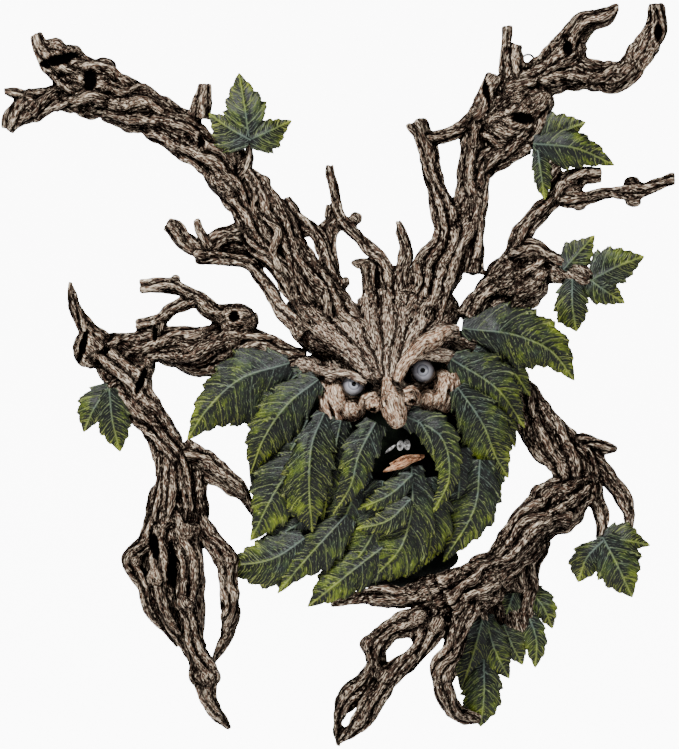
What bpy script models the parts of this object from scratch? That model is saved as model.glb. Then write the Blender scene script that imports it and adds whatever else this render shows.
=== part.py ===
"""A cast resin wall sculpture: a tree spirit's face with a beard of leaves, antler branches and two
twig-fingered arms, hung by two wire loops. Metres, +Z up. The wall is the plane y = 0, the face
looks along -Y, and the origin is on the flat back behind the eyes."""

import math

import bmesh
import bpy
import numpy as np
from mathutils import Matrix, Vector

# Driving dimensions
HEIGHT = 0.498
RELIEF_DEPTH = 0.092
LEAF_THICKNESS = 0.0030
BEARD_LEAF_THICKNESS = 0.0120
WIRE_DIAMETER = 0.0014
WIRE_LOOP_WIDTH = 0.0085
WIRE_LOOP_RISE = 0.0150
WIRE_SEAT = 0.0070
WIRE_DEPTH = 0.0050
SEAT_CLEARANCE = 0.0003

# The carving is laid out in shares of the height, on a grid of 498 units, and of the relief
# depth, on a grid of 92 units from the wall to the tip of the nose
UNIT = HEIGHT / 498
DEEP = RELIEF_DEPTH / 92
CAST_GRAIN = 1.7 * UNIT
CAST_FACETS = 9250
FINE_FACETS = 15000
FACE_FRONT = 50
FACE_REACH = 48

RESIN = ("cast_resin", (0.24, 0.18, 0.14, 1), 0.7, 0.0)
STEEL = ("hanger_steel", (0.22, 0.22, 0.22, 1), 0.4, 1.0)

for old in list(bpy.data.objects):
    bpy.data.objects.remove(old, do_unlink=True)

work = bpy.data.collections.new("tree_face_sculpture")
cutters = bpy.data.collections.new("cutters")
bpy.context.scene.collection.children.link(work)
bpy.context.scene.collection.children.link(cutters)


def material(name, colour, roughness, metallic):
    made = bpy.data.materials.new(name)
    made.use_nodes = True
    shader = made.node_tree.nodes["Principled BSDF"]
    shader.inputs["Base Color"].default_value = colour
    shader.inputs["Roughness"].default_value = roughness
    shader.inputs["Metallic"].default_value = metallic
    return made


def place(x, z, depth):
    """A point of the carving: across and up in height units, and out from the wall."""
    return Vector((x * UNIT, -depth * DEEP, z * UNIT))


def evaluated_mesh(obj):
    graph = bpy.context.evaluated_depsgraph_get()
    return bpy.data.meshes.new_from_object(obj.evaluated_get(graph))


class Carving:
    """Gathers limbs, lumps and leaves, each a closed shape that runs into its neighbours."""

    def __init__(self):
        self.shapes = bmesh.new()
        self.routes = bpy.data.curves.new("limb_routes", "CURVE")
        self.routes.dimensions = "3D"
        self.routes.bevel_depth = 1.0
        self.routes.bevel_resolution = 3
        self.routes.resolution_u = 5
        self.routes.use_fill_caps = True

    def limb(self, *stations):
        """A branch, twig or finger through stations of (across, up, depth, radius)."""
        spline = self.routes.splines.new("BEZIER")
        spline.radius_interpolation = "CARDINAL"
        spline.bezier_points.add(len(stations) - 1)
        for point, (x, z, depth, radius) in zip(spline.bezier_points, stations):
            point.co = place(x, z, depth)
            point.handle_left_type = "AUTO"
            point.handle_right_type = "AUTO"
            point.radius = radius * UNIT

    def lump(self, x, z, depth, wide, tall, thick, roll=0.0):
        """A knot, eyeball or swelling: a ball stretched to its three half sizes."""
        turn = Matrix.Rotation(math.radians(roll), 4, "Y")
        size = Matrix.Diagonal((wide * UNIT, thick * DEEP, tall * UNIT, 1))
        where = Matrix.Translation(place(x, z, depth))
        bmesh.ops.create_uvsphere(
            self.shapes, u_segments=20, v_segments=12, radius=1, matrix=where @ turn @ size
        )

    def leaf(self, rib, depths, left, right, teeth=4, thick=LEAF_THICKNESS, fold=0.22):
        """A toothed blade along a midrib. left and right are the half widths at the start and at
        each quarter of the rib, seen by one who walks from the stem to the tip."""
        sheet = bmesh.new()
        long_steps = 5 * teeth
        bmesh.ops.create_grid(sheet, x_segments=long_steps, y_segments=6, size=1)
        rib = np.array(rib, float)
        share = (np.array([v.co.x for v in sheet.verts]) + 1) / 2
        side = np.array([v.co.y for v in sheet.verts])
        middle = along(rib, share)
        ahead = along(rib, np.clip(share + 0.04, 0, 1)) - along(rib, np.clip(share - 0.04, 0, 1))
        ahead /= np.linalg.norm(ahead, axis=1)[:, None]
        depth = np.interp(share, np.linspace(0, 1, len(depths)), depths)
        quarters = np.linspace(0, 1, 5)
        wide = np.where(
            side > 0,
            np.interp(share, quarters, (*left, 0.8)),
            np.interp(share, quarters, (*right, 0.8)),
        )
        tooth = 1 - 0.24 * (1 - (share * teeth) % 1)
        reach = side * wide * (1 - (1 - tooth) * np.abs(side) ** 2)
        across = middle[:, 0] - ahead[:, 1] * reach
        up = middle[:, 1] + ahead[:, 0] * reach
        depth = depth - fold * np.abs(reach)
        for vert, x, z, out in zip(sheet.verts, across, up, depth):
            vert.co = place(x, z, out)
        bmesh.ops.recalc_face_normals(sheet, faces=sheet.faces)
        if sum(face.normal.y * face.calc_area() for face in sheet.faces) > 0:
            bmesh.ops.reverse_faces(sheet, faces=sheet.faces)
        bmesh.ops.solidify(sheet, geom=sheet.faces[:], thickness=thick)
        plate = bpy.data.meshes.new("leaf_plate")
        sheet.to_mesh(plate)
        sheet.free()
        self.shapes.from_mesh(plate)
        bpy.data.meshes.remove(plate)

    def cast(self, name):
        """Runs the shapes together into one skin, cuts its back flat at the wall, and facets it."""
        guide = bpy.data.objects.new("limb_guide", self.routes)
        work.objects.link(guide)
        tubes = evaluated_mesh(guide)
        bpy.data.objects.remove(guide)
        self.shapes.from_mesh(tubes)
        rough = bpy.data.meshes.new(name + "_rough")
        self.shapes.to_mesh(rough)
        self.shapes.free()
        blank = bpy.data.objects.new("blank", rough)
        work.objects.link(blank)
        skin = blank.modifiers.new("one skin", "REMESH")
        skin.mode = "VOXEL"
        skin.voxel_size = CAST_GRAIN
        soften = blank.modifiers.new("soften", "SMOOTH")
        soften.factor = 0.5
        soften.iterations = 2
        body = evaluated_mesh(blank)
        bpy.data.objects.remove(blank)
        flatten_back(body)
        made = bpy.data.objects.new(name, body)
        work.objects.link(made)
        keep = made.vertex_groups.new(name="face")
        near_face = [
            v.index
            for v in body.vertices
            if v.co.y < -FACE_FRONT * DEEP and max(abs(v.co.x), abs(v.co.z)) < FACE_REACH * UNIT
        ]
        keep.add(near_face, 1.0, "REPLACE")
        fine = made.modifiers.new("fine facets", "DECIMATE")
        fine.ratio = FINE_FACETS / len(body.polygons)
        facets = made.modifiers.new("facets away from the face", "DECIMATE")
        facets.ratio = CAST_FACETS / FINE_FACETS
        facets.vertex_group = keep.name
        facets.vertex_group_factor = 1000
        facets.invert_vertex_group = True
        return made


def along(points, share):
    """Points of a smooth curve through the given ones, at shares 0 to 1 of its length."""
    steps = np.linalg.norm(np.diff(points, axis=0), axis=1)
    knots = np.concatenate([[0], np.cumsum(steps)]) / steps.sum()
    slopes = np.gradient(points, knots, axis=0)
    piece = np.clip(np.searchsorted(knots, share, side="right") - 1, 0, len(steps) - 1)
    span = (knots[piece + 1] - knots[piece])[:, None]
    part = (share[:, None] - knots[piece][:, None]) / span
    start = points[piece] * (1 + 2 * part) + slopes[piece] * span * part
    end = points[piece + 1] * (3 - 2 * part) + slopes[piece + 1] * span * (part - 1)
    return start * (1 - part) ** 2 + end * part**2


def flatten_back(mesh):
    """Cuts a mesh flat at the wall plane, closes the cut and keeps its largest shell."""
    solid = bmesh.new()
    solid.from_mesh(mesh)
    cut = bmesh.ops.bisect_plane(
        solid,
        geom=solid.verts[:] + solid.edges[:] + solid.faces[:],
        dist=1e-6,
        plane_co=(0, 0, 0),
        plane_no=(0, 1, 0),
        clear_outer=True,
    )
    rim = [e for e in cut["geom_cut"] if isinstance(e, bmesh.types.BMEdge) and e.is_boundary]
    bmesh.ops.triangle_fill(solid, edges=rim, use_beauty=True)
    bmesh.ops.triangulate(solid, faces=solid.faces[:])
    waiting = set(solid.verts)
    shells = []
    while waiting:
        shell = {waiting.pop()}
        edge_of_shell = list(shell)
        while edge_of_shell:
            near = {edge.other_vert(v) for v in edge_of_shell for edge in v.link_edges} - shell
            shell |= near
            edge_of_shell = list(near)
        waiting -= shell
        shells.append(shell)
    shells.sort(key=len)
    bmesh.ops.delete(solid, geom=[v for shell in shells[:-1] for v in shell], context="VERTS")
    bmesh.ops.recalc_face_normals(solid, faces=solid.faces)
    solid.to_mesh(mesh)
    solid.free()


def carve_core(wood):
    """The block behind the face and the beard, and the brow it carries."""
    wood.lump(4, 2, 24, 50, 50, 36)
    wood.lump(-14, -50, 16, 74, 70, 42)
    wood.lump(18, -64, 16, 59, 52, 42)
    wood.lump(-66, 2, 20, 26, 20, 28)
    wood.lump(66, -6, 20, 22, 30, 28)
    wood.lump(0, 34, 30, 58, 22, 30)
    wood.lump(4, 30, 44, 44, 22, 21)
    wood.lump(-34, 33, 42, 26, 13, 18)
    wood.lump(36, 44, 40, 26, 12, 18)
    wood.lump(-60, 19, 26, 28, 10, 20)
    wood.lump(8, -112, 30, 46, 15, 16)
    wood.lump(5, -125, 28, 26, 8, 12)


def carve_face(wood):
    """Brows, eyes, nose, cheeks and the open mouth. The eye line rises to the right."""
    wood.limb(
        (-72, 24, 44, 6), (-55, 23.5, 58, 6.5), (-38, 22, 66, 6.5), (-27, 17, 71, 6),
        (-16, 12, 74, 5), (-3, 5, 74, 4),
    )
    wood.limb((50, 40, 52, 6), (34, 33, 64, 6), (22, 24, 72, 6), (15, 14, 75, 5), (11, 6, 75, 4))
    for low_x, low_z, high_x, high_z in (
        (-14, 15, -20, 48), (-2, 4, -6, 42), (4, 5, 4, 44), (9, 8, 16, 44), (15, 22, 27, 48),
    ):
        wood.limb((low_x, low_z, 71, 3.4), (high_x, high_z, 58, 5.5))
    wood.lump(-18, 3, 60, 8, 8, 8)
    wood.lump(28, 12, 61, 8.5, 8.5, 8)
    wood.limb((-36, 14, 60, 3), (-27, 13, 66, 3), (-17, 11, 68, 2.6), (-9, 6, 66, 2.2))
    wood.limb((45, 24, 58, 3), (36, 23, 65, 3), (27, 22, 68, 2.6), (19, 17, 68, 2.2))
    wood.limb((4, 8, 70, 5), (6, -2, 78, 6), (8, -10, 83, 8), (10, -17, 84, 8), (11, -21, 82, 5))
    wood.lump(-3, -9, 74, 7, 6, 8)
    wood.lump(18, -7, 74, 7, 6, 8)
    wood.limb((-13, -9, 68, 2.5), (-8, -4, 74, 2.5), (-2, -4, 76, 2.5))
    wood.limb((15, -2, 76, 2.5), (21, -1, 74, 2.5), (26, -6, 68, 2.5))
    wood.lump(-29, -10, 55, 14, 15, 12, 20)
    wood.lump(42, 2, 54, 11, 18, 12)
    wood.lump(16, -36, 62, 4.5, 4.5, 4)
    wood.limb((2, -35, 62, 1.8), (6, -38, 64, 1.8), (10, -43, 64, 1.6))
    wood.limb((1, -50, 62, 4), (12, -46, 66, 4.5), (24, -43, 64, 3.5), (29, -43, 60, 2.5))
    wood.limb((0, -56, 60, 3), (10, -52, 65, 3), (22, -48, 64, 3))


def carve_beard(wood):
    """Overlapping leaves that fan out from the nose and the mouth."""
    blade = dict(thick=BEARD_LEAF_THICKNESS)
    wood.leaf(
        [(-60, 18), (-95, 6), (-115, -13), (-128, -33)], (58, 54, 48, 40), (8, 32, 37, 18),
        (6, 20, 17, 10), **blade
    )
    wood.leaf(
        [(-41, 7), (-60, -8), (-77, -32), (-86, -56)], (64, 62, 56, 48), (6, 14, 19, 11),
        (6, 14, 15, 11), **blade
    )
    wood.leaf(
        [(-50, -42), (-65, -60), (-86, -100)], (62, 58, 46), (8, 18, 24, 16), (6, 17, 19, 8),
        **blade
    )
    wood.leaf(
        [(-38, -17), (-46, -35), (-47, -60), (-45, -94)], (66, 68, 66, 56), (9, 17, 18, 11),
        (4, 9, 17, 18), **blade
    )
    wood.leaf(
        [(-50, -98), (-70, -111), (-104, -117.5)], (54, 50, 40), (10, 20, 22, 14), (7, 15, 17, 11),
        **blade
    )
    wood.leaf(
        [(-22, -82), (-50, -113), (-68, -135)], (62, 56, 44), (9, 17, 18, 7), (5, 11, 13, 8),
        **blade
    )
    wood.leaf(
        [(18, -92), (-10, -113), (-48, -144)], (60, 56, 42), (6, 16, 18, 12), (4, 11, 17, 14),
        **blade
    )
    wood.leaf(
        [(20.5, -50), (21, -75), (14, -103), (-8, -128)], (66, 70, 64, 48), (8, 16, 16, 13),
        (8, 22, 28, 16), **blade
    )
    wood.leaf([(24, -78), (33, -95), (30, -116)], (64, 60, 50), (4, 7, 8, 5), (4, 7, 8, 5), **blade)
    wood.leaf(
        [(54, 41), (94, 35), (113, 26), (129, 6.5)], (54, 56, 50, 42), (6, 20, 22, 15),
        (5, 15, 24, 13), thick=BEARD_LEAF_THICKNESS / 2,
    )
    wood.leaf([(47, 20.5), (79, -1), (96, -25)], (60, 58, 46), (6, 18, 17, 9), (5, 12, 10, 5), **blade)
    wood.leaf(
        [(51, 2), (68, -23), (78, -47), (85, -58)], (64, 64, 56, 50), (6, 14, 20, 14),
        (6, 13, 17, 12), **blade
    )
    wood.leaf(
        [(66, -46), (63, -76), (42, -114)], (60, 58, 46), (10, 17, 16.5, 9.5), (8, 18, 20, 10),
        **blade
    )
    wood.leaf(
        [(-2, -24), (-15, -43), (-20, -65), (-31, -82)], (76, 76, 72, 64), (5, 11, 10, 6),
        (6, 12, 10, 5), **blade
    )
    wood.leaf(
        [(19.5, -18.6), (43, -33), (45, -59), (33, -84)], (75, 75, 70, 62), (7, 13, 8, 5),
        (5, 11, 9, 6), **blade
    )


def carve_crown(wood):
    """Trunks and twigs that rise from the forehead between the antlers."""
    wood.limb(
        (-90, 147, 28, 4), (-81, 135, 30, 8), (-73, 119, 32, 12), (-62, 98, 36, 11.5),
        (-48.5, 77.5, 42, 11.5), (-31, 56, 46, 12.5), (-14, 36, 50, 16),
    )
    wood.limb(
        (-63, 128, 26, 4), (-57, 117, 28, 5), (-43, 104, 30, 5.4), (-36, 88, 34, 5),
        (-31, 70, 40, 6), (-20, 46, 46, 7),
    )
    wood.limb(
        (-82, 112, 28, 6), (-76, 94, 34, 6), (-64, 79, 38, 4.4), (-53, 58, 42, 6),
        (-36, 42, 48, 10),
    )
    wood.limb((-77, 115, 42, 2.5), (-68, 104, 48, 2.8), (-71, 93, 46, 2.8), (-66, 78, 46, 3))
    wood.limb(
        (-34, 150.5, 28, 3), (-31, 134, 28, 4), (-26, 116, 28, 4.2), (-12, 99, 30, 4.6),
        (2, 86.5, 34, 5), (6, 66, 42, 6), (4, 44, 52, 7),
    )
    wood.limb(
        (-34, 124, 24, 3), (-32.5, 104, 26, 4), (-30.5, 84, 30, 4), (-27, 66, 36, 5),
        (-22, 48, 44, 7),
    )
    wood.limb((-42, 105, 26, 3.5), (-33, 112, 26, 3.5), (-26, 117, 27, 3.5))
    wood.limb((-20, 85, 30, 1.8), (-9, 82.5, 32, 5.6), (-8, 70, 36, 5), (-5, 50, 46, 7))
    wood.limb((12, 112.5, 28, 2.5), (16.5, 97, 30, 4.6), (15, 74, 38, 6), (12, 48, 50, 8))
    wood.limb((26, 80, 34, 5), (26, 60, 42, 7), (22, 40, 52, 8))
    wood.limb((-1, 84, 30, 3), (0, 62, 36, 4.4))
    wood.lump(-24, 71, 40, 4.5, 4.5, 4.5)
    wood.lump(-28, 109.5, 28, 3, 5, 3)
    wood.lump(-50, 107, 28, 7, 6, 5, -40)
    wood.lump(-16, 114.5, 29, 4.5, 4.5, 4.5)
    wood.lump(-78, 138, 30, 6, 5, 6)
    wood.lump(22, 52, 36, 34, 22, 22)


def carve_left_antler(wood):
    """The heavy branch at the upper left, with its fork and a cut stub."""
    wood.limb(
        (-60, 62, 40, 8), (-80, 95, 34, 9), (-91, 118, 28, 9), (-103, 141, 24, 11.5),
        (-127, 170, 20, 14.5), (-149, 184, 19, 15), (-170, 193, 19, 16.5), (-190, 201, 20, 19),
        (-206, 206, 20, 17.5),
    )
    wood.limb(
        (-200, 207, 22, 16), (-218.5, 222, 24, 10.5), (-225.5, 228, 26, 7), (-229.5, 237.5, 28, 4),
    )
    wood.limb(
        (-200, 200, 20, 15), (-220, 193.5, 20, 10.5), (-236, 188, 20, 10.5), (-246, 181, 20, 9),
        (-249.5, 173.5, 20, 5.5),
    )
    wood.limb((-234, 195, 22, 5), (-243, 197.6, 23, 4.4), (-254, 199.8, 24, 3.2))
    wood.limb((-121, 182, 24, 8), (-117.5, 197, 25, 5.6), (-117, 204.5, 25, 4))
    wood.lump(-104, 137, 26, 13, 9, 14, 35)
    wood.lump(-218, 229.5, 22, 7.5, 6, 8)
    wood.lump(-206, 223.5, 20, 9, 7.5, 9)
    wood.lump(-185, 216, 20, 9, 6, 9)
    wood.lump(-98, 156, 22, 9, 9, 10)


def carve_left_twigs(wood):
    """The side branch below the antler and the strand that runs on from it to the brow."""
    wood.limb(
        (-84, 107, 30, 8), (-107, 102, 28, 6), (-121, 94, 27, 6.6), (-130, 99.5, 27, 6.2),
        (-136.5, 108, 27, 6.4), (-142, 111, 27, 4.6),
    )
    wood.limb((-116, 98, 30, 4), (-119, 105, 31, 3.2), (-122.5, 114, 32, 2.2))
    wood.limb(
        (-123, 89.5, 28, 5.5), (-105, 88, 30, 5), (-88, 84, 31, 5), (-73, 65, 34, 4.8),
        (-64, 51, 38, 6.2), (-50, 36, 44, 7.5),
    )


def carve_right_antlers(wood):
    """The twin trunks at the right, and the branches that fork from their top."""
    wood.limb(
        (24.5, 179.5, 24, 7), (31, 162, 24, 6.6), (34, 138, 25, 6.4), (40.5, 119, 28, 7.6),
        (42, 104, 30, 8), (30, 84, 36, 9), (22, 62, 44, 10),
    )
    wood.limb((30, 167.5, 24, 5), (41, 168.5, 23, 5), (50, 173.5, 22, 5.6), (60, 181.5, 22, 6.4))
    wood.limb(
        (65, 176, 20, 10), (62.5, 150, 20, 10.2), (60.5, 125, 22, 12.5), (56, 108, 26, 12),
        (49, 88, 32, 11), (39, 64, 40, 9), (30, 44, 48, 12),
    )
    wood.limb((69, 150, 26, 5), (67, 128, 28, 5.6), (63.5, 97, 30, 6), (61, 77.5, 31, 8.5))
    wood.limb(
        (62, 172, 18, 10), (80, 188, 18, 10), (93, 200, 17, 12.5), (107, 209, 17, 13),
        (118, 220, 18, 12), (128, 233.5, 20, 9.4), (138, 245.5, 22, 8.4), (152, 250, 24, 5.6),
        (159.5, 258, 25, 2),
    )
    wood.limb(
        (108, 208, 18, 12), (130, 211.5, 18, 11.4), (158, 209.5, 20, 11.6), (167, 213.5, 21, 10),
        (175.5, 229, 22, 9), (183.5, 243, 23, 7.6), (183.5, 259.4, 24, 4.8),
    )
    wood.limb((80, 188, 20, 6), (84, 212, 20, 5.6), (84.5, 232, 20, 4.4), (85, 243.5, 20, 3.8))
    wood.limb((90, 208, 22, 7), (91, 222, 22, 5), (91.5, 231, 22, 3.6))
    wood.limb((50, 174.5, 22, 4.4), (63, 185, 24, 6.4), (70, 197, 24, 6), (78, 209, 24, 5.6))
    wood.limb((70, 172, 22, 8), (84, 168, 24, 9), (98, 172, 24, 9), (108, 192, 20, 10))
    wood.lump(88, 180, 20, 22, 22, 16)
    wood.limb((66, 146, 22, 9), (80, 156.5, 24, 9.5), (98, 166, 24, 10))
    wood.lump(105, 192, 22, 11.5, 11, 10)
    wood.lump(168, 138.5, 27, 6, 4.6, 4)
    wood.lump(169, 126, 27, 6, 4.6, 4)
    wood.lump(165, 213, 24, 6, 6, 7)
    wood.lump(48, 118, 30, 6, 7, 7)
    wood.lump(98, 207, 6, 10, 9, 6)
    wood.lump(96, 215, 18, 5, 5, 5)
    wood.lump(131, 226, 20, 8, 8, 8)
    wood.lump(127, 135, 26, 9, 5, 6)
    wood.lump(133, 123, 26, 5, 3.4, 4)
    wood.limb(
        (58, 47, 36, 10), (70, 64.5, 32, 8.4), (82, 77, 30, 8.4), (90, 91, 28, 8),
        (96, 106.5, 27, 7), (107.5, 119.5, 26, 6.4), (119, 130, 26, 6.4),
    )
    wood.limb((117, 127, 26, 6.4), (124, 140.5, 26, 5.6), (135, 143.6, 26, 6.6), (148, 143.8, 26, 5.8))
    wood.limb(
        (117, 129, 26, 6), (130, 127, 26, 6), (150, 131, 27, 4.6), (172, 132.5, 28, 5),
        (186, 137.5, 29, 4.4), (198.5, 141, 30, 4.2),
    )
    wood.limb(
        (88, 92, 28, 9), (102, 92.5, 28, 8.4), (112, 88.5, 28, 6.6), (124, 82.5, 28, 6),
        (142, 73, 29, 4), (147, 72, 29, 3),
    )
    wood.limb((92, 74, 30, 7), (108, 84, 29, 4.5))
    wood.lump(84, 76, 26, 14, 13, 18)
    wood.lump(93, 68, 28, 20, 11, 14)
    wood.lump(104, 76, 28, 9, 8, 9)
    wood.lump(84, 57, 28, 17, 7, 10)
    wood.lump(99.5, 62, 28, 8.5, 7, 10, 30)


def carve_left_arm(wood):
    """The shoulder, bent elbow and forearm at the left, and the long hanging hand."""
    wood.limb(
        (-50, 20, 36, 8), (-66, 23, 34, 9), (-83, 30, 30, 12.5), (-100, 29, 26, 16),
        (-120, 25.5, 24, 16.4), (-134, 28.5, 24, 15), (-148, 29.5, 24, 12), (-168, 29, 25, 10),
        (-181, 26, 26, 12),
    )
    wood.lump(-95, 46.5, 30, 14, 11, 12)
    wood.limb(
        (-98, 50, 28, 7), (-112, 52.3, 28, 6.8), (-124, 62, 28, 5.6), (-138, 68.8, 28, 5.8),
        (-160, 69, 28, 5),
    )
    wood.limb((-125, 60, 28, 5.5), (-140, 53, 28, 4.6), (-149, 45, 28, 5.4), (-163, 43.5, 28, 4.6))
    wood.limb((-147, 47, 28, 4.5), (-146, 36, 26, 5.5))
    wood.limb(
        (-184, 28, 28, 10), (-197, 42, 28, 6.6), (-203, 53, 29, 5), (-205.5, 63, 30, 3.4),
        (-206.5, 72.5, 31, 1.8),
    )
    wood.lump(-193.5, 28, 26, 11.5, 14, 12)
    wood.limb(
        (-180, 24, 26, 13), (-169, 8, 28, 14.5), (-160.5, -9, 30, 12.6), (-146, -28, 32, 11.4),
        (-139.5, -43, 34, 12), (-135.5, -64, 34, 13.5), (-138, -88, 34, 18),
    )
    wood.limb(
        (-132, -38, 34, 9), (-118, -49, 36, 10.4), (-105, -57.5, 38, 8.6), (-95, -68.5, 36, 6.2),
        (-88.5, -80, 32, 3.6), (-84, -89, 28, 1.8),
    )
    wood.lump(-137, -78, 32, 19, 22, 16)
    wood.lump(-136.5, 72, 28, 4.5, 4.5, 3.5)
    wood.lump(-160, 15, 26, 10, 10, 10)
    wood.limb((-122, -56, 36, 8), (-121, -72, 36, 6.6), (-119, -88, 38, 7))
    wood.limb((-139, -96, 34, 4), (-138.5, -125, 34, 4), (-136.5, -145, 34, 3.8), (-131, -168, 34, 3))
    wood.limb((-155, -102, 36, 3.4), (-156.5, -116, 36, 3.8), (-154, -132, 36, 3))
    wood.limb(
        (-148, -82, 38, 9), (-156, -102, 40, 6), (-166, -113, 42, 6), (-157.5, -130, 44, 4.6),
        (-152.5, -146, 42, 4.4), (-143, -159, 36, 3), (-134, -171, 30, 2),
    )
    wood.limb(
        (-144, -84, 40, 9), (-146, -106, 44, 7.4), (-146, -124, 48, 8), (-145, -138, 48, 6.6),
        (-138, -157, 42, 5), (-130, -172, 34, 3), (-125.5, -182, 30, 2),
    )
    wood.limb(
        (-132, -80, 42, 10), (-129, -104, 46, 8.4), (-126, -126, 50, 8.4), (-129, -140, 50, 6.6),
        (-126, -152, 48, 6.6), (-122, -172, 44, 7), (-116, -188.5, 40, 10), (-115.5, -204, 36, 6),
        (-108, -217, 30, 4.8), (-100, -227, 24, 2),
    )
    wood.limb(
        (-125, -80, 38, 9), (-114, -97, 42, 8), (-103, -112, 45, 7.6), (-101, -130, 46, 7),
        (-100, -148, 44, 7), (-101, -163, 38, 4.6), (-109, -176.5, 30, 3.4), (-111, -183, 26, 2),
    )
    wood.limb((-121, -100, 38, 3.4), (-120, -128, 38, 3.8), (-119, -160, 36, 2.6), (-119, -182, 38, 3))


def carve_right_arm(wood):
    """The arm that comes from behind the leaves at the right, and the hand under the beard."""
    wood.limb(
        (34, 24, 26, 18), (72, 18, 24, 15), (90.5, -1, 22, 13), (104, -20, 24, 15.2),
        (117, -38, 28, 15.6), (131, -54, 30, 15), (134, -64, 32, 13.5),
    )
    wood.limb(
        (135, -65, 32, 13.5), (117, -78.5, 38, 17.6), (100, -91.5, 44, 16), (86, -108, 48, 13),
        (66, -124, 50, 16), (44, -138, 50, 18),
    )
    wood.limb((132, -36, 26, 9), (146, -37.5, 25, 6.6), (159, -40, 24, 1.8))
    wood.limb(
        (138, -46, 26, 9), (151.5, -58.5, 26, 7.4), (162, -72, 28, 6.2), (166.5, -84, 30, 4.6),
        (165, -94, 31, 3.4),
    )
    wood.limb((140, -60, 32, 8), (144, -74, 32, 5.6), (147.5, -86, 32, 5), (147, -100, 33, 4))
    wood.lump(90, -124, 38, 11, 12, 7)
    wood.limb((108, -100, 42, 7), (101, -114, 38, 6.6), (98.5, -132, 36, 6), (97.5, -151, 34, 3.4))
    wood.lump(60, -132, 48, 22, 14, 14, 20)
    wood.lump(38, -138, 48, 20, 15, 14, 20)
    wood.lump(24, -159, 55, 8, 8, 8)
    wood.limb(
        (28, -134, 50, 9), (16, -138, 50, 8), (1, -138, 50, 8), (-12, -138.5, 46, 5),
        (-33, -142.5, 40, 2),
    )
    wood.limb(
        (30, -149, 54, 9), (7, -162, 58, 8.6), (-1.5, -168.5, 60, 8.4), (-4, -182, 56, 7.8),
        (-9, -192, 52, 7.4), (-21.5, -204, 46, 7.8), (-28, -218, 38, 4.6), (-28, -238.8, 28, 2.8),
    )
    wood.limb(
        (40, -152, 54, 9.5), (24.5, -173, 60, 7), (9, -187, 62, 7.4), (-0.5, -200, 58, 8),
        (-8.5, -213, 50, 7.8), (-19, -226, 42, 5), (-27, -234, 34, 3),
    )
    wood.limb(
        (58, -142, 54, 10), (49, -168, 58, 7), (41.5, -184.5, 60, 8.2), (43.5, -202, 54, 6.8),
        (50, -213, 44, 6), (66, -220, 36, 3.6),
    )


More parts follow.
